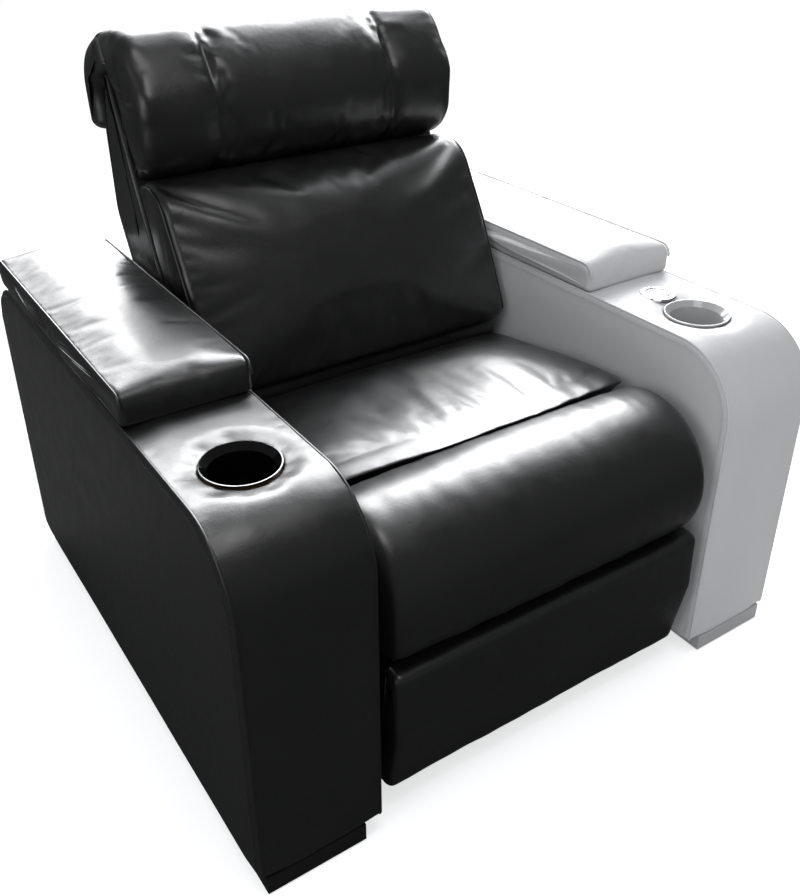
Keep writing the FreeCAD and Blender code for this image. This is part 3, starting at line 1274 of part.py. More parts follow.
# Every object is checked before any file is written
doc.recompute()
faults = []
for thing in doc.Objects:
    if "Invalid" in thing.State or "Error" in thing.State:
        faults.append("%s is %s" % (thing.Name, thing.State))
for label, thing in NODES.items():
    shape = thing.Shape
    if shape.isNull() or not shape.isValid() or not shape.Solids:
        faults.append("%s has no valid solid" % label)
if faults:
    raise RuntimeError("; ".join(faults))
for label, thing in NODES.items():
    thing.Shape.exportStep("parts/%s.step" % label)
    solids = thing.Shape.Solids
    bounds = thing.Shape.BoundBox
    print("%-22s %2d solids %9.1f cm3  x %7.1f..%6.1f  y %7.1f..%6.1f  z %6.1f..%6.1f" % (
        label, len(solids), thing.Shape.Volume / 1000, bounds.XMin, bounds.XMax, bounds.YMin,
        bounds.YMax, bounds.ZMin, bounds.ZMax))
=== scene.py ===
import math

import bmesh
import bpy
import numpy as np
from mathutils import Matrix, Vector, noise


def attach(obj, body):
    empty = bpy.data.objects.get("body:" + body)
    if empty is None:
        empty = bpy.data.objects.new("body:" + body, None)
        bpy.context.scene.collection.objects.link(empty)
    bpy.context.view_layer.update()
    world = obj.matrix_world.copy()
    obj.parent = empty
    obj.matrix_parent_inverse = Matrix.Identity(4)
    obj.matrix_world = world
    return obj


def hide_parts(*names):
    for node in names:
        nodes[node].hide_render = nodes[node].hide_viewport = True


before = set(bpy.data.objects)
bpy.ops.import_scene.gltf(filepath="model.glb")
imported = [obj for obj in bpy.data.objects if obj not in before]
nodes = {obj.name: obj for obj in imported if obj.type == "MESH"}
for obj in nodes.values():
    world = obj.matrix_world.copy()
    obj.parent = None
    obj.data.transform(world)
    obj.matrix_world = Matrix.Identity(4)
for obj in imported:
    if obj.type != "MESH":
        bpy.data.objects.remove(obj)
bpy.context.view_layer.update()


# The room: a pale seamless floor, even room light, and four soft lamps, the strongest two
# behind the seat. Its world and floor are white to the camera and dark in reflections.

def linear(code):
    """A hex colour as it is written in a paint chart, turned into light values."""
    parts = [int(code[i:i + 2], 16) / 255 for i in (1, 3, 5)]
    parts = [c / 12.92 if c <= 0.04045 else ((c + 0.055) / 1.055) ** 2.4 for c in parts]
    return (*parts, 1.0)


def put(tree, kind, sockets=(), **settings):
    """Adds one node. Each socket takes a value, or another node's output as its link."""
    node = tree.nodes.new(kind)
    for name, value in settings.items():
        setattr(node, name, value)
    for name, value in dict(sockets).items():
        if isinstance(value, bpy.types.NodeSocket):
            tree.links.new(value, node.inputs[name])
        else:
            node.inputs[name].default_value = value
    return node


scene = bpy.context.scene
scene.view_settings.view_transform = "Standard"


def set_down(name, data):
    """Puts a mesh, curve, lamp or camera into the scene as a thing of its own."""
    thing = bpy.data.objects.new(name, data)
    scene.collection.objects.link(thing)
    return thing


room = bpy.data.worlds.new("pale_room")
scene.world = room
room.use_nodes = True
tree = room.node_tree
tree.nodes.clear()
ray = put(tree, "ShaderNodeLightPath")
ambient = put(tree, "ShaderNodeBackground", {"Color": linear("#E8EBEF"), "Strength": 0.62})
# Two bright cards, which only glossy reflections show and which carry the broad highlights:
# where each lies, the cosines at which it starts and is full, and its strength
heading = put(tree, "ShaderNodeTexCoord").outputs["Generated"]
power = 0.13
for towards, edge, centre, strength in (((0.36, 0.77, 0.52), 0.84, 0.95, 9.0),
                                        ((0.60, 0.50, 0.62), 0.89, 0.97, 7.0)):
    facing = put(tree, "ShaderNodeVectorMath", {0: heading, 1: Vector(towards).normalized()},
                 operation="DOT_PRODUCT")
    card = put(tree, "ShaderNodeMapRange", {"Value": facing.outputs["Value"],
                                            "From Min": edge, "From Max": centre,
                                            "To Min": 0.0, "To Max": strength},
               interpolation_type="SMOOTHSTEP")
    power = put(tree, "ShaderNodeMath", {0: card.outputs[0], 1: power}).outputs[0]
mirrored = put(tree, "ShaderNodeBackground", {"Color": linear("#F2F4F6"), "Strength": power})
seen = put(tree, "ShaderNodeBackground", {"Color": linear("#FFFFFF"), "Strength": 1.0})
glossy = put(tree, "ShaderNodeMixShader", {0: ray.outputs["Is Glossy Ray"],
                                           1: ambient.outputs[0], 2: mirrored.outputs[0]})
direct = put(tree, "ShaderNodeMath", {0: ray.outputs["Is Camera Ray"],
                                      1: ray.outputs["Is Transmission Ray"]}, operation="MAXIMUM")
whole = put(tree, "ShaderNodeMixShader", {0: direct.outputs[0], 1: glossy.outputs[0],
                                          2: seen.outputs[0]})
put(tree, "ShaderNodeOutputWorld", {"Surface": whole.outputs[0]})

floor_mesh = bpy.data.meshes.new("studio_floor")
floor_mesh.from_pydata([(-9, -9, 0), (9, -9, 0), (9, 9, 0), (-9, 9, 0)], [], [(0, 1, 2, 3)])
studio_floor = set_down("studio_floor", floor_mesh)
paper = bpy.data.materials.new("seamless_paper")
paper.use_nodes = True
tree = paper.node_tree
tree.nodes.clear()
ray = put(tree, "ShaderNodeLightPath")
place = put(tree, "ShaderNodeNewGeometry")
fibre = put(tree, "ShaderNodeTexNoise", {"Vector": place.outputs["Position"], "Scale": 900.0})
tone = put(tree, "ShaderNodeMix", {"Factor": fibre.outputs["Fac"], "A": linear("#EFEFEF"),
                                   "B": linear("#F4F4F4")}, data_type="RGBA")
matte = put(tree, "ShaderNodeBsdfDiffuse", {"Color": tone.outputs["Result"]})
glow = put(tree, "ShaderNodeEmission", {"Color": linear("#FFFFFF"), "Strength": 0.62})
lifted = put(tree, "ShaderNodeAddShader", {0: matte.outputs[0], 1: glow.outputs[0]})
direct = put(tree, "ShaderNodeMath", {0: ray.outputs["Is Camera Ray"],
                                      1: ray.outputs["Is Transmission Ray"]}, operation="MAXIMUM")
dim = put(tree, "ShaderNodeBsdfDiffuse", {"Color": linear("#505050")})
bounced = put(tree, "ShaderNodeMixShader", {0: ray.outputs["Is Glossy Ray"],
                                            1: matte.outputs[0], 2: dim.outputs[0]})
shown = put(tree, "ShaderNodeMixShader", {0: direct.outputs[0], 1: bounced.outputs[0],
                                          2: lifted.outputs[0]})
put(tree, "ShaderNodeOutputMaterial", {"Surface": shown.outputs[0]})
floor_mesh.materials.append(paper)


def soft_lamp(name, at, towards, width, depth, power):
    """A softbox: a rectangular lamp that faces a point."""
    lamp = bpy.data.lights.new(name, "AREA")
    lamp.shape = "RECTANGLE"
    lamp.size = width
    lamp.size_y = depth
    lamp.energy = power
    thing = set_down(name, lamp)
    thing.location = at
    thing.rotation_euler = (Vector(towards) - Vector(at)).to_track_quat("-Z", "Y").to_euler()


soft_lamp("window_behind", (0.72, 2.1, 2.05), (0.0, -0.1, 0.5), 1.2, 0.85, 50)
soft_lamp("window_right", (1.95, 1.5, 2.2), (0.0, -0.2, 0.5), 1.0, 0.8, 28)
soft_lamp("lamp_over_front", (-0.3, -0.9, 2.7), (0.0, -0.1, 0.4), 1.0, 0.7, 9)
soft_lamp("fill_left", (-2.6, -0.6, 1.3), (-0.3, 0.0, 0.4), 1.4, 1.4, 10)

# The camera stands in front of the sitter's right arm, at a standing person's chest.
view = bpy.data.cameras.new("photo_view")
view.lens = 39.69
view.sensor_width = 36.0
view.shift_x = -0.0026
view.shift_y = -0.0573
camera = set_down("photo_view", view)
turn = (Matrix.Rotation(math.radians(-33.64), 4, "Z")
        @ Matrix.Rotation(math.radians(90 - 28.66), 4, "X")
        @ Matrix.Rotation(math.radians(-0.145), 4, "Z"))
camera.matrix_world = Matrix.Translation((-0.8046, -1.2757, 1.2132)) @ turn
scene.camera = camera


# Base metalwork: welded steel tubes, laser-cut plates and levers, all in one black
# powder coat baked at the factory. It shows from behind and below, satin with a fine
# orange peel.

def dress(material, *names):
    """Gives CAD pieces their finish."""
    for name in names:
        slots = nodes[name].material_slots
        if not slots:
            nodes[name].data.materials.append(material)
        for slot in nodes[name].material_slots:
            slot.material = material


def finish_named(name):
    """A new material with an empty node tree, and its object coordinates in metres."""
    material = bpy.data.materials.new(name)
    material.use_nodes = True
    material.node_tree.nodes.clear()
    where = put(material.node_tree, "ShaderNodeTexCoord").outputs["Object"]
    return material, material.node_tree, where


powder_coat, tree, where = finish_named("black_powder_coat")
peel = put(tree, "ShaderNodeTexNoise", {"Vector": where, "Scale": 700.0, "Detail": 3.0})
dust = put(tree, "ShaderNodeTexNoise", {"Vector": where, "Scale": 9.0, "Detail": 4.0})
rough = put(tree, "ShaderNodeMapRange", {"Value": dust.outputs["Fac"], "From Min": 0.3,
                                         "From Max": 0.7, "To Min": 0.38, "To Max": 0.5})
colour = put(tree, "ShaderNodeMix", {"Factor": dust.outputs["Fac"], "A": linear("#131314"),
                                     "B": linear("#1E1E20")}, data_type="RGBA")
bump = put(tree, "ShaderNodeBump", {"Height": peel.outputs["Fac"], "Strength": 0.25,
                                    "Distance": 0.0002})
body = put(tree, "ShaderNodeBsdfPrincipled", {"Base Color": colour.outputs["Result"],
                                              "Roughness": rough.outputs["Result"], "IOR": 1.5,
                                              "Normal": bump.outputs["Normal"]})
put(tree, "ShaderNodeOutputMaterial", {"Surface": body.outputs[0]})
dress(powder_coat, "floor_feet", "left_floor_runner", "right_floor_runner", "front_base_tube",
      "rear_base_tube", "left_side_plate", "right_side_plate", "actuator_cross_tube",
      "actuator_ears", "seat_side_rails", "seat_front_rail", "seat_rear_rail", "legrest_shaft",
      "legrest_brackets", "back_tube", "back_frame", "back_brackets")


# Bolts, actuator rods and pins: turned steel with a bright zinc plate. Turning leaves
# rings a third of a millimetre apart, too fine to show, so they are drawn 2 mm apart.

zinc_plate, tree, where = finish_named("bright_zinc_plate")
rings = put(tree, "ShaderNodeTexWave", {"Vector": where, "Scale": 160.0, "Distortion": 0.6,
                                        "Detail": 1.0}, bands_direction="X")
mottle = put(tree, "ShaderNodeTexNoise", {"Vector": where, "Scale": 60.0, "Detail": 3.0})
rough = put(tree, "ShaderNodeMapRange", {"Value": mottle.outputs["Fac"], "From Min": 0.3,
                                         "From Max": 0.7, "To Min": 0.22, "To Max": 0.36})
colour = put(tree, "ShaderNodeMix", {"Factor": mottle.outputs["Fac"], "A": linear("#A9ABAF"),
                                     "B": linear("#C6C7C8")}, data_type="RGBA")
bump = put(tree, "ShaderNodeBump", {"Height": rings.outputs["Fac"], "Strength": 0.15,
                                    "Distance": 0.0001})
body = put(tree, "ShaderNodeBsdfPrincipled", {"Base Color": colour.outputs["Result"],
                                              "Metallic": 1.0,
                                              "Roughness": rough.outputs["Result"],
                                              "Normal": bump.outputs["Normal"]})
put(tree, "ShaderNodeOutputMaterial", {"Surface": body.outputs[0]})
dress(zinc_plate, "legrest_rod", "back_rod", "actuator_pins", "control_pin", "left_arm_bolts",
      "right_arm_bolts")


# Bushes, spacers and glides: turned from black nylon 6, self-lubricating, so the shafts
# run in them dry. Slightly waxy and faintly mottled.

nylon, tree, where = finish_named("black_nylon")
mottle = put(tree, "ShaderNodeTexNoise", {"Vector": where, "Scale": 350.0, "Detail": 2.0})
colour = put(tree, "ShaderNodeMix", {"Factor": mottle.outputs["Fac"], "A": linear("#1B1B1B"),
                                     "B": linear("#2A2A29")}, data_type="RGBA")
bump = put(tree, "ShaderNodeBump", {"Height": mottle.outputs["Fac"], "Strength": 0.2,
                                    "Distance": 0.0002})
body = put(tree, "ShaderNodeBsdfPrincipled", {"Base Color": colour.outputs["Result"],
                                              "Roughness": 0.42, "IOR": 1.53,
                                              "Normal": bump.outputs["Normal"]})
put(tree, "ShaderNodeOutputMaterial", {"Surface": body.outputs[0]})
dress(nylon, "legrest_bushes", "back_bushes", "left_arm_spacers", "right_arm_spacers",
      "left_arm_glides", "right_arm_glides")


# Actuator cases, power supply and inlet: injection-moulded black ABS with a spark-eroded
# texture of about half a millimetre, drawn at 1 mm so that it shows.

case_abs, tree, where = finish_named("moulded_black_abs")
spark = put(tree, "ShaderNodeTexVoronoi", {"Vector": where, "Scale": 1000.0})
colour = put(tree, "ShaderNodeMix", {"Factor": spark.outputs["Distance"],
                                     "A": linear("#1A1B1C"), "B": linear("#232425")},
             data_type="RGBA")
bump = put(tree, "ShaderNodeBump", {"Height": spark.outputs["Distance"], "Strength": 0.35,
                                    "Distance": 0.0003})
body = put(tree, "ShaderNodeBsdfPrincipled", {"Base Color": colour.outputs["Result"],
                                              "Roughness": 0.5, "IOR": 1.53,
                                              "Normal": bump.outputs["Normal"]})
put(tree, "ShaderNodeOutputMaterial", {"Surface": body.outputs[0]})
dress(case_abs, "legrest_actuator", "back_actuator", "power_supply", "power_inlet",
      "control_housing")


# Arm carcass: birch plywood, 18 mm, sanded and not varnished. Its long grain and fine
# flecks give a pale, matt surface.

birch_ply, tree, where = finish_named("birch_plywood")
stretched = put(tree, "ShaderNodeMapping", {"Vector": where, "Scale": (60.0, 6.0, 60.0)})
grain = put(tree, "ShaderNodeTexNoise", {"Vector": stretched.outputs[0], "Scale": 1.0,
                                         "Detail": 6.0})
fleck = put(tree, "ShaderNodeTexNoise", {"Vector": where, "Scale": 420.0, "Detail": 2.0})
colour = put(tree, "ShaderNodeMix", {"Factor": grain.outputs["Fac"], "A": linear("#B98F5E"),
                                     "B": linear("#DDBE92")}, data_type="RGBA")
bump = put(tree, "ShaderNodeBump", {"Height": fleck.outputs["Fac"], "Strength": 0.25,
                                    "Distance": 0.0002})
body = put(tree, "ShaderNodeBsdfPrincipled", {"Base Color": colour.outputs["Result"],
                                              "Roughness": 0.68, "IOR": 1.5,
                                              "Normal": bump.outputs["Normal"]})
put(tree, "ShaderNodeOutputMaterial", {"Surface": body.outputs[0]})
dress(birch_ply, "left_arm_frame", "right_arm_frame")


# Plinths: softwood boards standing back under the arms, stained black on the right and
# painted pale on the left, with a little of the grain showing. The legrest's board and
# cheeks are stained black as well, because they show in the gap under the roll.

def plinth_stain(name, dark, light):
    """Stain or thin paint on softwood, with the grain running along the board."""
    material, tree, where = finish_named(name)
    stretched = put(tree, "ShaderNodeMapping", {"Vector": where, "Scale": (140.0, 5.0, 140.0)})
    grain = put(tree, "ShaderNodeTexNoise", {"Vector": stretched.outputs[0], "Scale": 1.0,
                                             "Detail": 5.0})
    colour = put(tree, "ShaderNodeMix", {"Factor": grain.outputs["Fac"], "A": linear(dark),
                                         "B": linear(light)}, data_type="RGBA")
    bump = put(tree, "ShaderNodeBump", {"Height": grain.outputs["Fac"], "Strength": 0.2,
                                        "Distance": 0.0003})
    body = put(tree, "ShaderNodeBsdfPrincipled", {"Base Color": colour.outputs["Result"],
                                                  "Roughness": 0.55, "IOR": 1.5,
                                                  "Normal": bump.outputs["Normal"]})
    put(tree, "ShaderNodeOutputMaterial", {"Surface": body.outputs[0]})
    return material


black_stained_pine = plinth_stain("black_stained_pine", "#0F0F0F", "#1D1B1A")
dress(black_stained_pine, "right_arm_plinth", "legrest_board", "legrest_cheeks")
dress(plinth_stain("pale_painted_pine", "#B4B4B4", "#C2C2C2"), "left_arm_plinth")


# Seat and back webbing: 50 mm elastic tape, woven 2 x 2 with rubber cores 1.5 mm apart.
# The weave is drawn 3 mm apart so that it shows.

webbing, tree, where = finish_named("woven_elastic_webbing")
warp = put(tree, "ShaderNodeTexWave", {"Vector": where, "Scale": 106.0}, bands_direction="X")
weft = put(tree, "ShaderNodeTexWave", {"Vector": where, "Scale": 106.0}, bands_direction="Z")
weave = put(tree, "ShaderNodeMath", {0: warp.outputs["Fac"], 1: weft.outputs["Fac"]},
            operation="MULTIPLY")
colour = put(tree, "ShaderNodeMix", {"Factor": weave.outputs[0], "A": linear("#121212"),
                                     "B": linear("#2C2C2B")}, data_type="RGBA")
bump = put(tree, "ShaderNodeBump", {"Height": weave.outputs[0], "Strength": 0.5,
                                    "Distance": 0.0005})
body = put(tree, "ShaderNodeBsdfPrincipled", {"Base Color": colour.outputs["Result"],
                                              "Roughness": 0.85, "Sheen Weight": 0.2,
                                              "Normal": bump.outputs["Normal"]})
put(tree, "ShaderNodeOutputMaterial", {"Surface": body.outputs[0]})
dress(webbing, "seat_webbing", "back_webbing")


# Arms: foam over the plywood carcass, covered in corrected-grain leather. One long band
# runs over front, deck and rear, and a flat panel closes each side. The seams are turned
# over a thin cord and stitched again 9 mm lower on the side.

def leather(name, dark, light, rough_low, rough_high, level, polish):
    """Corrected-grain cowhide with a pigmented top coat. It is pressed with a fine pebble
    about 1 mm across, drawn at 2.2 mm so that it shows, and it creases softly over 40 mm."""
    material, tree, where = finish_named(name)
    pebble = put(tree, "ShaderNodeTexVoronoi", {"Vector": where, "Scale": 450.0,
                                                "Randomness": 0.9})
    pore = put(tree, "ShaderNodeTexNoise", {"Vector": where, "Scale": 1100.0, "Detail": 2.0})
    crease = put(tree, "ShaderNodeTexNoise", {"Vector": where, "Scale": 24.0, "Detail": 5.0,
                                              "Roughness": 0.6, "Distortion": 0.4})
    wear = put(tree, "ShaderNodeTexNoise", {"Vector": where, "Scale": 5.0, "Detail": 3.0})
    colour = put(tree, "ShaderNodeMix", {"Factor": wear.outputs["Fac"], "A": linear(dark),
                                         "B": linear(light)}, data_type="RGBA")
    rough = put(tree, "ShaderNodeMapRange", {"Value": crease.outputs["Fac"], "From Min": 0.3,
                                             "From Max": 0.7, "To Min": rough_low,
                                             "To Max": rough_high})
    soft = put(tree, "ShaderNodeBump", {"Height": crease.outputs["Fac"], "Strength": 0.22,
                                        "Distance": 0.004})
    fine = put(tree, "ShaderNodeBump", {"Height": pebble.outputs["Distance"], "Strength": 0.2,
                                        "Distance": 0.0004, "Normal": soft.outputs["Normal"]})
    finest = put(tree, "ShaderNodeBump", {"Height": pore.outputs["Fac"], "Strength": 0.1,
                                          "Distance": 0.0002, "Normal": fine.outputs["Normal"]})
    body = put(tree, "ShaderNodeBsdfPrincipled", {"Base Color": colour.outputs["Result"],
                                                  "Roughness": rough.outputs["Result"],
                                                  "IOR": 1.5, "Specular IOR Level": level,
                                                  "Coat Weight": polish,
                                                  "Coat Roughness": 0.26,
                                                  "Normal": finest.outputs["Normal"]})
    put(tree, "ShaderNodeOutputMaterial", {"Surface": body.outputs[0]})
    return material


black_leather = leather("black_corrected_grain_leather", "#0C0C0D", "#151516",
                        0.34, 0.47, 0.9, 0.3)
pale_leather = leather("pale_corrected_grain_leather", "#CFCFD0", "#D6D6D6",
                       0.42, 0.54, 0.3, 0.0)


def ring_of(corners, step):
    """A closed outline with rounded corners (y, z, radius), sampled about every step."""
    points = []
    count = len(corners)
    for index, (y, z, radius) in enumerate(corners):
        here = Vector((y, z))
        back = (Vector(corners[index - 1][:2]) - here).normalized()
        ahead = (Vector(corners[(index + 1) % count][:2]) - here).normalized()
        if radius <= 0:
            points.append(here)
            continue
        half = back.angle(ahead) / 2
        reach = radius / math.tan(half)
        middle = here + (back + ahead).normalized() * radius / math.sin(half)
        start = here + back * reach - middle
        finish = here + ahead * reach - middle
        sweep = start.angle_signed(finish)
        pieces = max(2, round(abs(sweep) * radius / step))
        for k in range(pieces + 1):
            points.append(middle + Matrix.Rotation(-sweep * k / pieces, 2) @ start)
    closed = points + [points[0]]
    lengths = [0.0]
    for a, b in zip(closed, closed[1:]):
        lengths.append(lengths[-1] + (b - a).length)
    total = lengths[-1]
    number = round(total / step)
    xs = np.interp(np.arange(number) * total / number, lengths, [p.x for p in closed])
    ys = np.interp(np.arange(number) * total / number, lengths, [p.y for p in closed])
    return np.stack([xs, ys], axis=1)


def inset_ring(ring, depth):
    """The outline moved inwards by depth, along its own normals."""
    ahead = np.roll(ring, -1, axis=0) - np.roll(ring, 1, axis=0)
    ahead /= np.linalg.norm(ahead, axis=1)[:, None]
    normal = np.stack([-ahead[:, 1], ahead[:, 0]], axis=1)
    area = np.sum(ring[:, 0] * np.roll(ring[:, 1], -1) - np.roll(ring[:, 0], -1) * ring[:, 1])
    moved = ring + normal * depth * (1 if area > 0 else -1)
    before = np.roll(ring, -1, axis=0) - ring
    # Where a sharp corner makes the moved outline fold over itself, its points are drawn together
    for _ in range(12):
        folded = ((np.roll(moved, -1, axis=0) - moved) * before).sum(axis=1) < 0
        if not folded.any():
            break
        near = folded | np.roll(folded, 1)
        evened = (np.roll(moved, 1, axis=0) + np.roll(moved, -1, axis=0)) / 2
        moved[near] = evened[near]
    return moved


def across(half, rounding, step):
    """Stations over the width: (x, inset) with quarter-round ends."""
    ends = [(half - rounding + rounding * math.sin(a), rounding * (1 - math.cos(a)))
            for a in np.linspace(0, math.pi / 2, 7)]
    count = max(2, round(2 * (half - rounding) / step))
    middle = [(x, 0.0) for x in np.linspace(-(half - rounding), half - rounding, count + 1)]
    left = [(-x, inset) for x, inset in reversed(ends[1:])]
    return left + middle + ends[1:]


def skin(name, grid, material, bulge=0.0, caps=(0.93, 0.8, 0.6, 0.38, 0.18)):
    """A closed mesh from rings (stations, points, xyz), its ends closed by smaller rings."""
    stations, count = grid.shape[:2]
    rings = list(grid)
    for end, order in ((0, -1), (stations - 1, 1)):
        centre = grid[end].mean(axis=0)
        outward = np.array([order * 1.0, 0, 0])
        for share in caps:
            dome = outward * bulge * (1 - share * share)
            ring = centre + (grid[end] - centre) * share + dome
            if order < 0:
                rings.insert(0, ring)
            else:
                rings.append(ring)
    verts = np.concatenate(rings)
    faces = []
    for s in range(len(rings) - 1):
        for k in range(count):
            n = (k + 1) % count
            a, b = s * count + k, s * count + n
            faces.append((a, b, b + count, a + count))
    for start in (0, (len(rings) - 1) * count):
        for k in range((count - 1) // 2):
            far = count - 1 - k
            strip = (start + k, start + k + 1, start + far - 1, start + far)
            faces.append(strip if strip[1] != strip[2] else strip[:2] + strip[3:])
    mesh = bpy.data.meshes.new(name)
    mesh.from_pydata([tuple(v) for v in verts], [], faces)
    mesh.validate()
    tool = bmesh.new()
    tool.from_mesh(mesh)
    bmesh.ops.recalc_face_normals(tool, faces=tool.faces)
    tool.to_mesh(mesh)
    tool.free()
    mesh.shade_smooth()
    mesh.materials.append(material)
    return set_down(name, mesh)


def reshape(thing, change):
    """Moves every vertex by change(position, normal), which returns the new position."""
    mesh = thing.data
    normals = [vertex.normal.copy() for vertex in mesh.vertices]
    for vertex, normal in zip(mesh.vertices, normals):
        vertex.co = change(vertex.co, normal)
    mesh.update()


def ramp(value, low, high):
    """0 below low, 1 above high, and smooth between."""
    t = min(1.0, max(0.0, (value - low) / (high - low)))
    return t * t * (3 - 2 * t)


def smoothed(thing):
    """One subdivision, kept as a modifier."""
    modifier = thing.modifiers.new("rounder", "SUBSURF")
    modifier.levels = 1
    modifier.render_levels = 1


def welt(name, points, radius, material):
    """A covered cord along a seam."""
    curve = bpy.data.curves.new(name, "CURVE")
    curve.dimensions = "3D"
    curve.bevel_depth = radius
    curve.bevel_resolution = 2
    line = curve.splines.new("POLY")
    line.points.add(len(points) - 1)
    for knot, point in zip(line.points, points):
        knot.co = (*point, 1.0)
    curve.materials.append(material)
    curve.use_fill_caps = True
    return set_down(name, curve)


thread_poly, tree, where = finish_named("bonded_polyester_thread")
twist = put(tree, "ShaderNodeTexWave", {"Vector": where, "Scale": 500.0},
            bands_direction="DIAGONAL")
colour = put(tree, "ShaderNodeMix", {"Factor": twist.outputs["Fac"], "A": linear("#0C0C0C"),
                                     "B": linear("#2B2B2B")}, data_type="RGBA")
body = put(tree, "ShaderNodeBsdfPrincipled", {"Base Color": colour.outputs["Result"],
                                              "Roughness": 0.5})
put(tree, "ShaderNodeOutputMaterial", {"Surface": body.outputs[0]})


def stitches(name, points, normals, material, pitch=0.0045, length=0.0034, thick=0.0005):
    """A row of lockstitches: short threads with a gap between, half sunk in the leather."""
    lengths = [0.0]
    for a, b in zip(points, points[1:]):
        lengths.append(lengths[-1] + (Vector(b) - Vector(a)).length)
    spots = np.arange(pitch / 2, lengths[-1], pitch)
    at = np.stack([np.interp(spots, lengths, [p[i] for p in points]) for i in range(3)], axis=1)
    up = np.stack([np.interp(spots, lengths, [n[i] for n in normals]) for i in range(3)], axis=1)
    ahead = np.gradient(at, axis=0)
    verts, faces = [], []
    for place, rise, run in zip(at, up, ahead):
        rise = Vector(rise).normalized()
        run = Vector(run).normalized()
        side = run.cross(rise).normalized()
        base = len(verts)
        place = Vector(place)
        for reach, fat in ((-1, 0.0), (-0.6, 1.0), (0.6, 1.0), (1, 0.0)):
            middle = place + run * length / 2 * reach
            for s, r in ((1, 0), (0, 1), (-1, 0), (0, -1)):
                verts.append(middle + (side * s + rise * r) * thick * max(fat, 0.3))
        for band in range(3):
            for k in range(4):
                a, b = base + band * 4 + k, base + band * 4 + (k + 1) % 4
                faces.append((a, b, b + 4, a + 4))
    mesh = bpy.data.meshes.new(name)
    mesh.from_pydata([tuple(v) for v in verts], [], faces)
    mesh.shade_smooth()
    mesh.materials.append(material)
    return set_down(name, mesh)


ARM_IN, ARM_OUT = 0.310, 0.500
ARM_FRONT, ARM_REAR, ARM_FOOT, DECK = -0.481, 0.492, 0.033, 0.566
ARM_EDGE, ARM_CORNER, FRONT_TURN, REAR_TURN = 0.006, 0.008, 0.112, 0.110
CUP = (0.405, -0.319)
CUP_RIM, CUP_CUT, CORD_IN = 0.0525, 0.0575, 0.0035
ARMS = (("right", -1, black_leather, "black_leather", thread_poly),
        ("left", 1, pale_leather, "pale_leather", pale_leather))


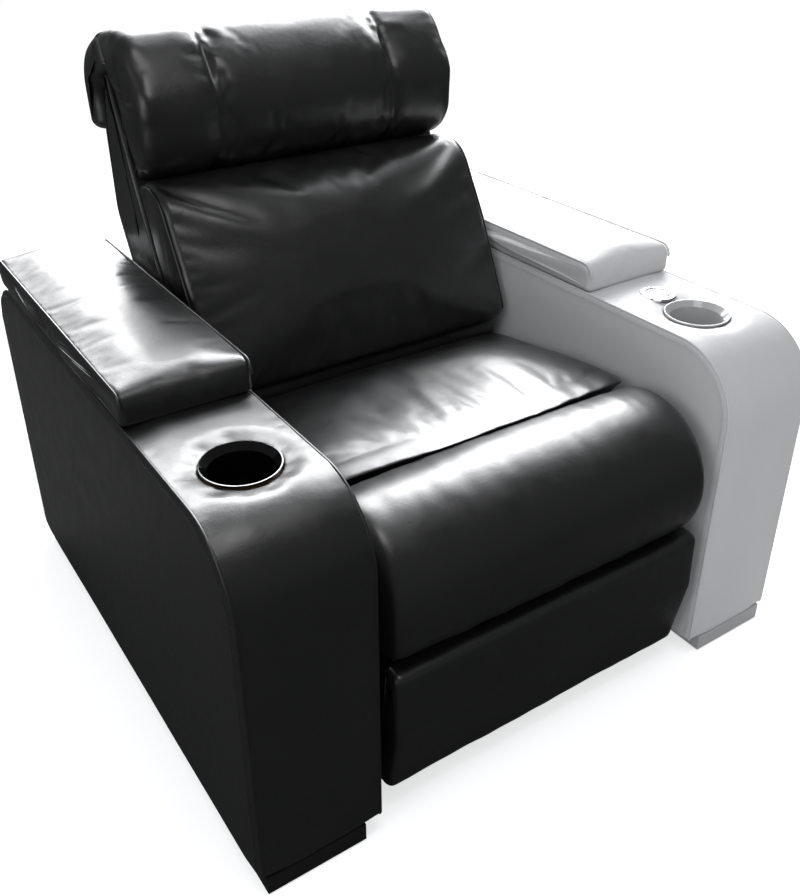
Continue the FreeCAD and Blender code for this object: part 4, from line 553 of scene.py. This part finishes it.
def arm_cover(side, sign, material, slot, thread):
    """One arm's leather with its hole for the cup holder, its cords and its stitches."""
    ring = ring_of([(ARM_FRONT, ARM_FOOT, ARM_CORNER), (ARM_REAR, ARM_FOOT, ARM_CORNER),
                    (ARM_REAR, DECK, REAR_TURN), (ARM_FRONT, DECK, FRONT_TURN)], 0.0062)
    middle = (ARM_IN + ARM_OUT) / 2
    half = (ARM_OUT - ARM_IN) / 2
    stations = across(half, ARM_EDGE, 0.0062)
    grid = np.zeros((len(stations), len(ring), 3))
    for s, (x, inset) in enumerate(stations):
        moved = inset_ring(ring, inset)
        moved[:, 1] = np.maximum(moved[:, 1], ARM_FOOT)
        grid[s, :, 0] = sign * (middle + x)
        grid[s, :, 1:] = moved
    cover = skin(side + "_arm_leather", grid, material, bulge=0.0,
                 caps=(0.985, 0.96, 0.92, 0.86, 0.78, 0.68, 0.56, 0.42, 0.28, 0.14))
    seed = Vector((3.1 * sign, 0, 0))

    def shape(p, n):
        side_face = abs(n.x)
        x = abs(p.x)
        edge = min(x - ARM_IN, ARM_OUT - x)
        if side_face > 0.8:
            # Side panel: lightly padded, drawn in along its seam, with slow waves
            inside = min(DECK - p.z, p.y - ARM_FRONT, ARM_REAR - p.y)
            turn_y, turn_z = ARM_FRONT + FRONT_TURN, DECK - FRONT_TURN
            if p.y < turn_y and p.z > turn_z:
                inside = FRONT_TURN - math.hypot(p.y - turn_y, p.z - turn_z)
            rise = 0.0022 * ramp(inside, 0.004, 0.05) - 0.001 * (1 - ramp(inside, 0.0, 0.012))
            rise += 0.0008 * noise.noise(p * 4 + seed) * ramp(inside, 0.02, 0.1)
            return p + n * rise
        # Band: low crown between its seams, with short puckers that run in from them
        crown = 0.003 * ramp(edge, 0.004, 0.06)
        pucker = noise.noise(Vector((edge * 12, p.y * 60, p.z * 60)) + seed)
        crown += 0.0009 * pucker * (1 - ramp(edge, 0.006, 0.035))
        crown += 0.0012 * noise.noise(p * 9 + seed) * ramp(edge, 0.01, 0.04)
        p = p + n * crown
        # The deck is drawn down round the cup holder, with radial tucks
        if p.z > DECK - 0.03:
            dx, dy = x - CUP[0], p.y - CUP[1]
            far = math.hypot(dx, dy)
            if far < 0.11:
                angle = math.atan2(dy, dx)
                pull = 1 - ramp(far, CUP_RIM, 0.086)
                tuck = noise.noise(Vector((math.cos(angle) * 3.2, math.sin(angle) * 3.2,
                                           far * 9)) + seed)
                p.z -= 0.0060 * pull + 0.0030 * tuck * (1 - ramp(far, 0.06, 0.1)) * pull ** 0.5
        return p

    reshape(cover, shape)
    tool = bmesh.new()
    tool.from_mesh(cover.data)
    centre = Vector((sign * CUP[0], CUP[1]))

    def far_from(vertex):
        return (Vector(vertex.co[:2]) - centre).length

    gone = [f for f in tool.faces if f.normal.z > 0.5 and f.calc_center_median().z > 0.5
            and all(far_from(v) < CUP_CUT for v in f.verts)]
    bmesh.ops.delete(tool, geom=gone, context="FACES")
    rim = [v for v in tool.verts if v.is_boundary]
    for vertex in rim:
        flat = (Vector(vertex.co[:2]) - centre).normalized() * CUP_RIM
        vertex.co.x, vertex.co.y = centre.x + flat.x, centre.y + flat.y
        vertex.co.z = DECK - 0.0042
    for radius, fall in ((0.0527, 0.007), (0.0475, 0.0125)):
        edges = [e for e in tool.edges if e.is_boundary]
        grown = bmesh.ops.extrude_edge_only(tool, edges=edges)["geom"]
        for vertex in [g for g in grown if isinstance(g, bmesh.types.BMVert)]:
            flat = (Vector(vertex.co[:2]) - centre).normalized() * radius
            vertex.co = (centre.x + flat.x, centre.y + flat.y, DECK - fall)
    bmesh.ops.recalc_face_normals(tool, faces=tool.faces)
    tool.to_mesh(cover.data)
    tool.free()
    cover.data.shade_smooth()
    smoothed(cover)
    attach(cover, "base")
    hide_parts(side + "_arm_cover")

    # Welts along both edges of the band, up the front, over the deck and down the rear
    for face, x in (("outer", ARM_OUT - CORD_IN), ("inner", ARM_IN + CORD_IN)):
        line = inset_ring(ring, 0.0012)
        keep = [i for i in range(len(ring)) if ring[i][1] > ARM_FOOT + 0.002]
        start = keep.index(max(keep, key=lambda i: ring[i][0] * 10 - ring[i][1]))
        keep = keep[start:] + keep[:start]
        points = [(sign * x, *line[i]) for i in keep]
        cord = welt("%s_arm_welt_%s" % (side, face), points, 0.0022, material)
        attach(cord, "base")
        low = inset_ring(ring, 0.0095)
        off = sign * ((ARM_OUT + 0.0012) if face == "outer" else (ARM_IN - 0.0012))
        points = [(off, *low[i]) for i in keep]
        way = sign if face == "outer" else -sign
        row = stitches("%s_arm_stitches_%s" % (side, face), points,
                       [(way, 0, 0)] * len(points), thread)
        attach(row, "base")


for arm in ARMS:
    arm_cover(*arm)


# Cup holders: moulded ABS, black in the black arm and pale in the pale one, polished in
# the mould. The sloping lip catches the light as a crescent, and fine scuffs dull it.

def polished_abs(name, dark, light):
    """Moulded ABS with a polished skin and fine scuffs."""
    material, tree, where = finish_named(name)
    scuff = put(tree, "ShaderNodeTexNoise", {"Vector": where, "Scale": 160.0, "Detail": 4.0,
                                             "Roughness": 0.7})
    rough = put(tree, "ShaderNodeMapRange", {"Value": scuff.outputs["Fac"], "From Min": 0.35,
                                             "From Max": 0.75, "To Min": 0.07, "To Max": 0.2})
    colour = put(tree, "ShaderNodeMix", {"Factor": scuff.outputs["Fac"], "A": linear(dark),
                                         "B": linear(light)}, data_type="RGBA")
    bump = put(tree, "ShaderNodeBump", {"Height": scuff.outputs["Fac"], "Strength": 0.05,
                                        "Distance": 0.0002})
    body = put(tree, "ShaderNodeBsdfPrincipled", {"Base Color": colour.outputs["Result"],
                                                  "Roughness": rough.outputs["Result"],
                                                  "IOR": 1.53,
                                                  "Normal": bump.outputs["Normal"]})
    put(tree, "ShaderNodeOutputMaterial", {"Surface": body.outputs[0]})
    return material


dress(polished_abs("polished_black_abs", "#040404", "#0A0A0B"), "right_cup_holder")
dress(polished_abs("polished_pale_abs", "#B2B2B3", "#BDBDBD"), "left_cup_holder")


# Armrest pads: a block of firm foam in leather on the rear of each deck. The top panel is
# sewn to the sides over a cord, and the front end is boxed and drawn round its corners.

FILLING_FRAMES = 20


def swell(thing, cap, pressure, slack, sewn):
    """Fills a cushion: the cover is let out by slack, blown up, and held where it is sewn.
    No point moves by more than cap. The result is written into the mesh."""
    mesh = thing.data
    before = [vertex.co.copy() for vertex in mesh.vertices]
    held = thing.vertex_groups.new(name="sewn")
    for vertex in mesh.vertices:
        weight = sewn(vertex.co)
        if weight > 0:
            held.add([vertex.index], weight, "REPLACE")
    cloth = thing.modifiers.new("filling", "CLOTH")
    cloth.settings.quality = 4
    cloth.settings.mass = 0.4
    cloth.settings.tension_stiffness = 22
    cloth.settings.compression_stiffness = 22
    cloth.settings.shear_stiffness = 8
    cloth.settings.bending_stiffness = 1.2
    cloth.settings.use_pressure = True
    cloth.settings.uniform_pressure_force = pressure
    cloth.settings.shrink_min = -slack
    cloth.settings.vertex_group_mass = "sewn"
    cloth.settings.effector_weights.gravity = 0
    cloth.collision_settings.use_collision = False
    cloth.point_cache.frame_start = 1
    cloth.point_cache.frame_end = FILLING_FRAMES
    for number in range(1, FILLING_FRAMES + 1):
        scene.frame_set(number)
    filled = thing.evaluated_get(bpy.context.evaluated_depsgraph_get()).data
    after = [vertex.co.copy() for vertex in filled.vertices]
    thing.modifiers.remove(cloth)
    for vertex, start, finish in zip(mesh.vertices, before, after):
        move = finish - start
        if move.length > cap:
            move *= cap / move.length
        vertex.co = start + move
    mesh.update()
    scene.frame_set(1)


def form(name, ring, centre, half, rounding, material, step=0.0075, bulge=0.0):
    """A padded form: one outline carried across the seat, its ends rounded."""
    stations = across(half, rounding, step)
    grid = np.zeros((len(stations), len(ring), 3))
    for s, (x, inset) in enumerate(stations):
        grid[s, :, 0] = centre + x
        grid[s, :, 1:] = inset_ring(ring, inset)
    return skin(name, grid, material, bulge=bulge)


PAD_FRONT, PAD_REAR, PAD_TOP, PAD_HALF = -0.1665, 0.433, 0.617, 0.095


def armrest_pad(side, sign, material, slot, thread):
    """One armrest pad with the cords and stitches round its top panel."""
    ring = ring_of([(PAD_FRONT, DECK + 0.0006, 0.005), (PAD_REAR, DECK + 0.0006, 0.024),
                    (PAD_REAR, PAD_TOP, 0.026), (PAD_FRONT, PAD_TOP, 0.02)], 0.0075)
    middle = sign * (ARM_IN + ARM_OUT) / 2
    pad = form(side + "_armrest_leather", ring, middle, PAD_HALF, 0.010, material,
               bulge=0.001)
    seed = Vector((0, 7.7 * sign, 0))

    def sewn(p):
        edge = PAD_HALF - abs(p.x - middle)
        if p.z < DECK + 0.012:
            return 1.0
        return 0.9 if edge < 0.006 and p.z > PAD_TOP - 0.014 else 0.0

    swell(pad, 0.006, pressure=2.2, slack=0.004, sewn=sewn)

    def shape(p, n):
        edge = PAD_HALF - abs(p.x - middle)
        if n.z > 0.35:
            lift = 0.007 * ramp(edge, 0.0, 0.075) * ramp(p.y - PAD_FRONT, -0.01, 0.09)
            pucker = noise.noise(Vector((edge * 14, p.y * 55, 0)) + seed)
            lift += 0.0011 * pucker * (1 - ramp(edge, 0.004, 0.04))
            lift += 0.0018 * noise.noise(p * 8 + seed)
            return p + Vector((0, 0, lift))
        if p.z > DECK + 0.01:
            return p + n * 0.0016 * noise.noise(p * 14 + seed)
        return p

    reshape(pad, shape)
    smoothed(pad)
    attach(pad, "base")
    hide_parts(side + "_armrest_pad")

    # The cord round the top panel, with a row of stitches outside it
    for face, way in (("outer", 1), ("inner", -1)):
        x = middle + sign * way * 0.0925
        y_line = np.linspace(PAD_FRONT + 0.02, PAD_REAR - 0.024, 70)
        points = [(x, y, PAD_TOP - 0.0015) for y in y_line]
        front = [(x, PAD_FRONT + 0.02 * (1 - math.sin(a)), PAD_TOP - 0.0015
                  - 0.02 * (1 - math.cos(a))) for a in np.linspace(math.pi / 2, 0.15, 8)]
        rear = [(x, PAD_REAR - 0.024 + 0.024 * math.sin(a), PAD_TOP - 0.0015
                 - 0.024 * (1 - math.cos(a))) for a in np.linspace(0.15, math.pi / 2, 8)]
        cord = welt("%s_pad_welt_%s" % (side, face), front + points + rear, 0.002, material)
        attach(cord, "base")
        off = middle + sign * way * 0.0957
        low = [(off, y, PAD_TOP - 0.0115) for y in np.linspace(PAD_FRONT + 0.022,
                                                             PAD_REAR - 0.03, 90)]
        row = stitches("%s_pad_stitches_%s" % (side, face), low, [(sign * way, 0, 0)] * 90,
                       thread)
        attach(row, "base")


for arm in ARMS:
    armrest_pad(*arm)


# Control: a satin chrome ring set in the left deck, with a moulded grey rocker that
# tips forwards and back on its pin.

satin_chrome, tree, where = finish_named("satin_chrome")
brushed = put(tree, "ShaderNodeTexNoise", {"Vector": where, "Scale": 240.0, "Detail": 3.0})
rough = put(tree, "ShaderNodeMapRange", {"Value": brushed.outputs["Fac"], "From Min": 0.3,
                                         "From Max": 0.7, "To Min": 0.14, "To Max": 0.24})
colour = put(tree, "ShaderNodeMix", {"Factor": brushed.outputs["Fac"], "A": linear("#C4C6C8"),
                                     "B": linear("#D8D9DA")}, data_type="RGBA")
body = put(tree, "ShaderNodeBsdfPrincipled", {"Base Color": colour.outputs["Result"],
                                              "Metallic": 1.0,
                                              "Roughness": rough.outputs["Result"]})
put(tree, "ShaderNodeOutputMaterial", {"Surface": body.outputs[0]})
dress(satin_chrome, "control_bezel")

grey_abs, tree, where = finish_named("moulded_grey_abs")
spark = put(tree, "ShaderNodeTexNoise", {"Vector": where, "Scale": 800.0, "Detail": 2.0})
colour = put(tree, "ShaderNodeMix", {"Factor": spark.outputs["Fac"], "A": linear("#8E9092"),
                                     "B": linear("#9C9EA0")}, data_type="RGBA")
bump = put(tree, "ShaderNodeBump", {"Height": spark.outputs["Fac"], "Strength": 0.2,
                                    "Distance": 0.0002})
body = put(tree, "ShaderNodeBsdfPrincipled", {"Base Color": colour.outputs["Result"],
                                              "Roughness": 0.38, "IOR": 1.53,
                                              "Normal": bump.outputs["Normal"]})
put(tree, "ShaderNodeOutputMaterial", {"Surface": body.outputs[0]})
dress(grey_abs, "control_rocker")


# Seat cushion: a foam block in black leather on the webbing. Its front follows the circle
# that the legrest's roll turns in, and the two meet in a tight crease.

AXLE = (-0.364, 0.357)
SEAT_UNDER, SEAT_REAR, SEAT_CREASE = 0.3492, 0.0435, 0.434
SEAT_CREST, SEAT_CREST_Y, SEAT_TURN = 0.4788, -0.255, 0.1288
SEAT_HALF, SEAT_DROOP = 0.2965, 0.0145


def around(radius, degrees):
    """A point round the legrest's axis: 0 degrees is forward and 90 is up."""
    angle = math.radians(degrees)
    return (AXLE[0] - radius * math.cos(angle), AXLE[1] + radius * math.sin(angle))


def curve_through(points, count):
    """A smooth line through a few points, sampled evenly; its last point is left out."""
    fine = []
    padded = [points[0]] + list(points) + [points[-1]]
    for a, b, c, d in zip(padded, padded[1:], padded[2:], padded[3:]):
        for t in np.arange(0, 1, 0.1):
            fine.append([0.5 * (2 * q + (r - p) * t + (2 * p - 5 * q + 4 * r - s) * t * t
                                + (3 * q - p - 3 * r + s) * t ** 3)
                         for p, q, r, s in zip(a, b, c, d)])
    fine.append(list(points[-1]))
    fine = np.array(fine)
    run = np.concatenate([[0], np.cumsum(np.linalg.norm(np.diff(fine, axis=0), axis=1))])
    spots = np.arange(count) / count * run[-1]
    return np.stack([np.interp(spots, run, fine[:, 0]), np.interp(spots, run, fine[:, 1])],
                    axis=1)


def seat_ring(sink):
    """The seat's outline from the side, its top lowered by up to sink."""
    share = 1 - sink / (SEAT_CREST - SEAT_UNDER)

    def sunk(y, z):
        return (y, SEAT_UNDER + (z - SEAT_UNDER) * share)

    seam_z = sunk(0, around(SEAT_TURN, 114)[1])[1]
    seam = 180 - math.degrees(math.asin((seam_z - AXLE[1]) / SEAT_TURN))
    foot = 180 + math.degrees(math.asin((AXLE[1] - SEAT_UNDER) / SEAT_TURN))
    front = around(SEAT_TURN, seam)
    near = (front[0] + 0.0022, front[1] + 0.0018)
    top = [sunk(SEAT_REAR, SEAT_CREASE - 0.016), sunk(SEAT_REAR - 0.004, SEAT_CREASE - 0.005),
           sunk(SEAT_REAR - 0.014, SEAT_CREASE), sunk(-0.05, 0.4475), sunk(-0.15, 0.4665),
           sunk(SEAT_CREST_Y, SEAT_CREST), near, front]
    return np.concatenate([
        curve_through([(around(SEAT_TURN, foot)[0], SEAT_UNDER), (SEAT_REAR - 0.004, SEAT_UNDER)],
                      34),
        curve_through([(SEAT_REAR - 0.004, SEAT_UNDER), sunk(SEAT_REAR, SEAT_CREASE - 0.016)], 9),
        curve_through(top, 62),
        curve_through([around(SEAT_TURN, seam + (foot - seam) * t)
                       for t in (0, 0.25, 0.5, 0.75, 1)], 16),
    ])


places = [(0.0, 0.029), (0.002, 0.0235), (0.005, 0.0195), (0.010, 0.0165), (0.016, 0.0145)]
inner = SEAT_HALF - 0.022
stations = [(-SEAT_HALF + d, s) for d, s in places]
for x in np.linspace(-inner, inner, 66):
    stations.append((x, SEAT_DROOP * 0.92 * abs(x / SEAT_HALF) ** 3))
stations += [(SEAT_HALF - d, s) for d, s in reversed(places)]
grid = np.zeros((len(stations), len(seat_ring(0.0)), 3))
for s, (x, sink) in enumerate(stations):
    grid[s, :, 0] = x
    grid[s, :, 1:] = seat_ring(sink)
seat = skin("seat_leather", grid, black_leather, bulge=0.001)


def seat_sewn(p):
    far = math.hypot(p.y - AXLE[0], p.z - AXLE[1])
    if p.z < SEAT_UNDER + 0.02 or far < SEAT_TURN + 0.004 or p.y > 0.03:
        return 1.0
    if far < SEAT_TURN + 0.03:
        return 0.85
    return 0.6 if abs(p.x) > SEAT_HALF - 0.012 else 0.0


swell(seat, 0.022, pressure=2.8, slack=0.010, sewn=seat_sewn)


def seat_shape(p, n):
    if n.z < 0.2:
        return p
    front = ramp(-p.y, 0.02, 0.2)
    drawn = noise.noise(Vector((p.x * 42, p.y * 9, 1.3)))
    slow = noise.noise(Vector((p.x * 7, p.y * 6, 4.0)))
    crease = ramp(-p.y, 0.22, 0.29)
    lift = 0.0008 * drawn * front + 0.0022 * slow + 0.0010 * drawn * crease
    return p + Vector((0, 0, lift * ramp(SEAT_HALF - abs(p.x), 0, 0.03)))


reshape(seat, seat_shape)
smoothed(seat)
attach(seat, "base")
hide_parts("seat_cushion")


# Legrest roll: a fat bolster of foam round the bent plywood, in black leather that is
# pulled tight over the top and tucked behind, so fine creases run down it from the seam.

ROLL_R, ROLL_BORE, ROLL_TOP, ROLL_LOW, ROLL_HALF = 0.1278, 0.0924, 115.5, -36.0, 0.289


def roll_ring(radius):
    """The roll's outline from the side: the arc in front, its round lips and its bore."""
    soft = min(0.015, 0.42 * (radius - ROLL_BORE))
    give = math.degrees(soft / radius)
    lip = 0.25 * soft
    lip_give = 0.25 * give
    turns = np.radians(np.linspace(0, 90, 7))
    outer = [around(radius, a) for a in np.linspace(ROLL_LOW + give, ROLL_TOP - lip_give, 78)]
    top = [around(radius - lip * (1 - math.cos(t)), ROLL_TOP - lip_give * (1 - math.sin(t)))
           for t in turns[1:]]
    inner = [around(ROLL_BORE, a) for a in np.linspace(ROLL_TOP, ROLL_LOW, 40)]
    low = [around(radius - soft * (1 - math.cos(t)), ROLL_LOW + give * (1 - math.sin(t)))
           for t in turns[:0:-1]]
    return np.array(outer + top + inner + low)


stations = across(ROLL_HALF, 0.024, 0.0075)
grid = np.zeros((len(stations), len(roll_ring(ROLL_R)), 3))
for s, (x, inset) in enumerate(stations):
    drawn = 0.004 * abs(x / ROLL_HALF) ** 3
    grid[s, :, 0] = x
    grid[s, :, 1:] = roll_ring(ROLL_R - drawn - inset)
roll = skin("legrest_roll_leather", grid, black_leather, bulge=0.002)


def roll_shape(p, n):
    dy, dz = AXLE[0] - p.y, p.z - AXLE[1]
    far = math.hypot(dy, dz)
    if far < ROLL_BORE + 0.01:
        return p
    angle = math.degrees(math.atan2(dz, dy))
    fold = noise.noise(Vector((p.x * 46, angle * 0.018, 2.0)))
    fine = noise.noise(Vector((p.x * 110, angle * 0.03, 5.0)))
    slow = noise.noise(Vector((p.x * 6, angle * 0.02, 8.0)))
    near_top = ramp(angle, 40, 105)
    near_low = 1 - ramp(angle, -36, 2)
    depth = 0.0010 * slow - 0.0012 + 0.0010 * fold * (0.35 + near_top)
    depth += 0.0006 * fine * near_top + 0.0015 * fold * near_low
    return p + n * depth


reshape(roll, roll_shape)
smoothed(roll)
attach(roll, "legrest")
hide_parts("legrest_roll")


# Legrest panel: a thinly padded board under the roll, covered in black leather and
# leaning back to its foot.

PANEL_HALF, PANEL_FOOT, PANEL_TOP = 0.287, 0.042, 0.2725
ring = ring_of([(-0.4487, PANEL_TOP, 0), (-0.4227, PANEL_FOOT, 0),
                (-0.461, PANEL_FOOT, 0.014), (-0.487, 0.178, 0.06),
                (-0.484, PANEL_TOP, 0.014)], 0.0075)
panel = form("legrest_panel_leather", ring, 0.0, PANEL_HALF, 0.012, black_leather,
             bulge=0.001)


def panel_shape(p, n):
    if n.y > -0.2:
        return p
    edge = min(PANEL_HALF - abs(p.x), p.z - PANEL_FOOT, PANEL_TOP - p.z)
    pull = noise.noise(Vector((p.x * 30, p.z * 14, 3.0)))
    slow = noise.noise(Vector((p.x * 6, p.z * 8, 9.0)))
    return p + n * (0.0012 * slow - 0.001 + 0.0009 * pull * (1 - ramp(edge, 0.01, 0.06)))


reshape(panel, panel_shape)
smoothed(panel)
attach(panel, "legrest")
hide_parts("legrest_panel")


# Back shell: plywood panels padded and covered in black leather, sewn over a cord where
# the sides meet the rear. It hangs on the steel frame inside.

HINGE = (0.112, 0.425)
LEAN = math.radians(25)
SHELL_HALF = 0.296


def leaned(ring):
    """Points of the back, (behind its axis, up), turned to the lean that it has at rest."""
    y = HINGE[0] + ring[:, 0] * math.cos(LEAN) + ring[:, 1] * math.sin(LEAN)
    z = HINGE[1] - ring[:, 0] * math.sin(LEAN) + ring[:, 1] * math.cos(LEAN)
    return np.stack([y, z], axis=1)


def upright(p):
    """The same in reverse: (behind the back's axis, up) of a point of the seat."""
    dy, dz = p.y - HINGE[0], p.z - HINGE[1]
    return (dy * math.cos(LEAN) - dz * math.sin(LEAN), dy * math.sin(LEAN) + dz * math.cos(LEAN))


shell_ring = ring_of([(0.0102, -0.050, 0.004), (0.112, -0.020, 0.028), (0.137, 0.340, 0.06),
                      (0.068, 0.490, 0.05), (0.012, 0.544, 0.006), (0.0102, 0.544, 0.002)],
                     0.0085)
shell = form("back_shell_leather", leaned(shell_ring), 0.0, SHELL_HALF, 0.007, black_leather,
             step=0.012, bulge=0.0)


def shell_shape(p, n):
    rear, up = upright(p)
    wave = noise.noise(Vector((p.x * 7, rear * 9, up * 7)))
    if abs(n.x) > 0.8:
        return p + n * (0.0018 * wave - 0.001)
    return p + n * (0.0022 * wave + 0.002 * ramp(SHELL_HALF - abs(p.x), 0.01, 0.12) - 0.002)


reshape(shell, shell_shape)
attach(shell, "back")
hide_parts("back_shell")


def edge_cords(name, line, radius):
    """A cord down each edge of the back, 293.5 mm from its middle."""
    for side, sign in (("left", 1), ("right", -1)):
        points = [(sign * 0.2935, *point) for point in line]
        cord = welt(name + side, points, radius, black_leather)
        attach(cord, "back")


line = leaned(inset_ring(shell_ring, 0.001))
edge_cords("back_shell_welt_", line[shell_ring[:, 0] > 0.05], 0.0022)


# Back cushion: one large foam block in black leather, boxed, with a corded seam where the
# front panel meets the side gussets. Its foot is round, clear of the seat as it turns.

BACK_HALF = 0.2925
back_ring = ring_of([(0.0098, -0.057, 0), (-0.063, -0.057, 0.049), (-0.0655, -0.006, 0.004),
                     (-0.100, -0.006, 0.028), (-0.1005, 0.190, 0.5), (-0.083, 0.353, 0.075),
                     (0.0098, 0.359, 0)], 0.0075)
cushion = form("back_leather", leaned(back_ring), 0.0, BACK_HALF, 0.014, black_leather,
               bulge=0.001)


def back_sewn(p):
    rear, up = upright(p)
    if rear > -0.012 or up < -0.002:
        return 1.0
    edge = BACK_HALF - abs(p.x)
    return 0.7 if 0.001 < edge < 0.009 and rear < -0.05 else 0.0


swell(cushion, 0.022, pressure=2.6, slack=0.005, sewn=back_sewn)


def back_shape(p, n):
    rear, up = upright(p)
    if n.y > 0.2 or rear > -0.02:
        return p
    edge = BACK_HALF - abs(p.x)
    crown = 0.004 * ramp(edge, 0.0, 0.12) * ramp(up, 0.0, 0.08)
    pull = noise.noise(Vector((edge * 10, up * 34, 6.0 + math.copysign(3, p.x))))
    slow = noise.noise(Vector((p.x * 5, up * 5, 2.5)))
    drape = noise.noise(Vector((p.x * 22, up * 4, 7.5)))
    crown += 0.0014 * pull * (1 - ramp(edge, 0.01, 0.07))
    crown += 0.0025 * slow + 0.0007 * drape
    return p + n * crown


reshape(cushion, back_shape)
smoothed(cushion)
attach(cushion, "back")
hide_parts("back_cushion")
line = leaned(inset_ring(back_ring, 0.0085))
edge_cords("back_welt_", line[(back_ring[:, 0] < -0.02) & (back_ring[:, 1] > 0.0)], 0.0021)


# Head pillow: three panels of black leather sewn side by side over a soft filling, bent
# over the top of the back, so the two seams gather the leather into short creases.

SEAMS, HEAD_HALF = 0.165, 0.293
head_ring = ring_of([(0.0098, 0.3615, 0), (-0.068, 0.365, 0.07), (-0.1145, 0.457, 0.055),
                     (-0.087, 0.582, 0.075), (0.0195, 0.612, 0.01), (0.0195, 0.551, 0),
                     (0.0098, 0.551, 0)], 0.0075)
pillow = form("head_pillow_leather", leaned(head_ring), 0.0, HEAD_HALF, 0.024, black_leather,
              step=0.0068, bulge=0.003)


def pillow_sewn(p):
    rear, up = upright(p)
    if rear > -0.004 and up < 0.58:
        return 1.0
    return 0.92 if abs(abs(p.x) - SEAMS) < 0.0045 else 0.0


swell(pillow, 0.012, pressure=2.8, slack=0.014, sewn=pillow_sewn)


def pillow_shape(p, n):
    rear, up = upright(p)
    if rear > -0.002 and up < 0.585:
        return p
    side = abs(abs(p.x) - SEAMS)
    groove = -0.0042 * math.exp(-(side / 0.0042) ** 2) - 0.003 * math.exp(-(side / 0.02) ** 2)
    high = ramp(up, 0.47, 0.58)
    gather = noise.noise(Vector((side * 16, up * 70, rear * 70 + math.copysign(4, p.x))))
    slow = noise.noise(Vector((p.x * 8, up * 8, rear * 8)))
    ends = 1 - ramp(HEAD_HALF - abs(p.x), 0.0, 0.06)
    groove += 0.0026 * gather * math.exp(-side / 0.035) * (0.25 + high)
    groove += 0.0020 * slow + 0.0015 * gather * ends
    return p + n * groove


reshape(pillow, pillow_shape)
smoothed(pillow)
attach(pillow, "back")
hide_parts("headrest_roll")


# Pillow flap: the same leather carried over the top, its filled tail hanging behind the
# back with a rounded hem.

flap_ring = ring_of([(0.0208, 0.612, 0.004), (0.131, 0.612, 0.08), (0.1785, 0.4865, 0.018),
                     (0.125, 0.4795, 0.01), (0.1035, 0.550, 0.04), (0.0208, 0.551, 0)], 0.0075)
flap = form("head_flap_leather", leaned(flap_ring), 0.0, HEAD_HALF, 0.024, black_leather,
            step=0.0085, bulge=0.002)


def flap_shape(p, n):
    rear, up = upright(p)
    if rear < 0.024:
        return p
    side = abs(abs(p.x) - SEAMS)
    groove = -0.0038 * math.exp(-(side / 0.0045) ** 2) - 0.0025 * math.exp(-(side / 0.02) ** 2)
    gather = noise.noise(Vector((side * 16, up * 60, rear * 60 + math.copysign(4, p.x))))
    slow = noise.noise(Vector((p.x * 8, up * 8, rear * 8 + 3)))
    groove += 0.0018 * gather * math.exp(-side / 0.03) + 0.0018 * slow
    return p + n * (groove if n.y > -0.3 else 0.2 * groove)


reshape(flap, flap_shape)
smoothed(flap)
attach(flap, "back")
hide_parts("headrest_flap")
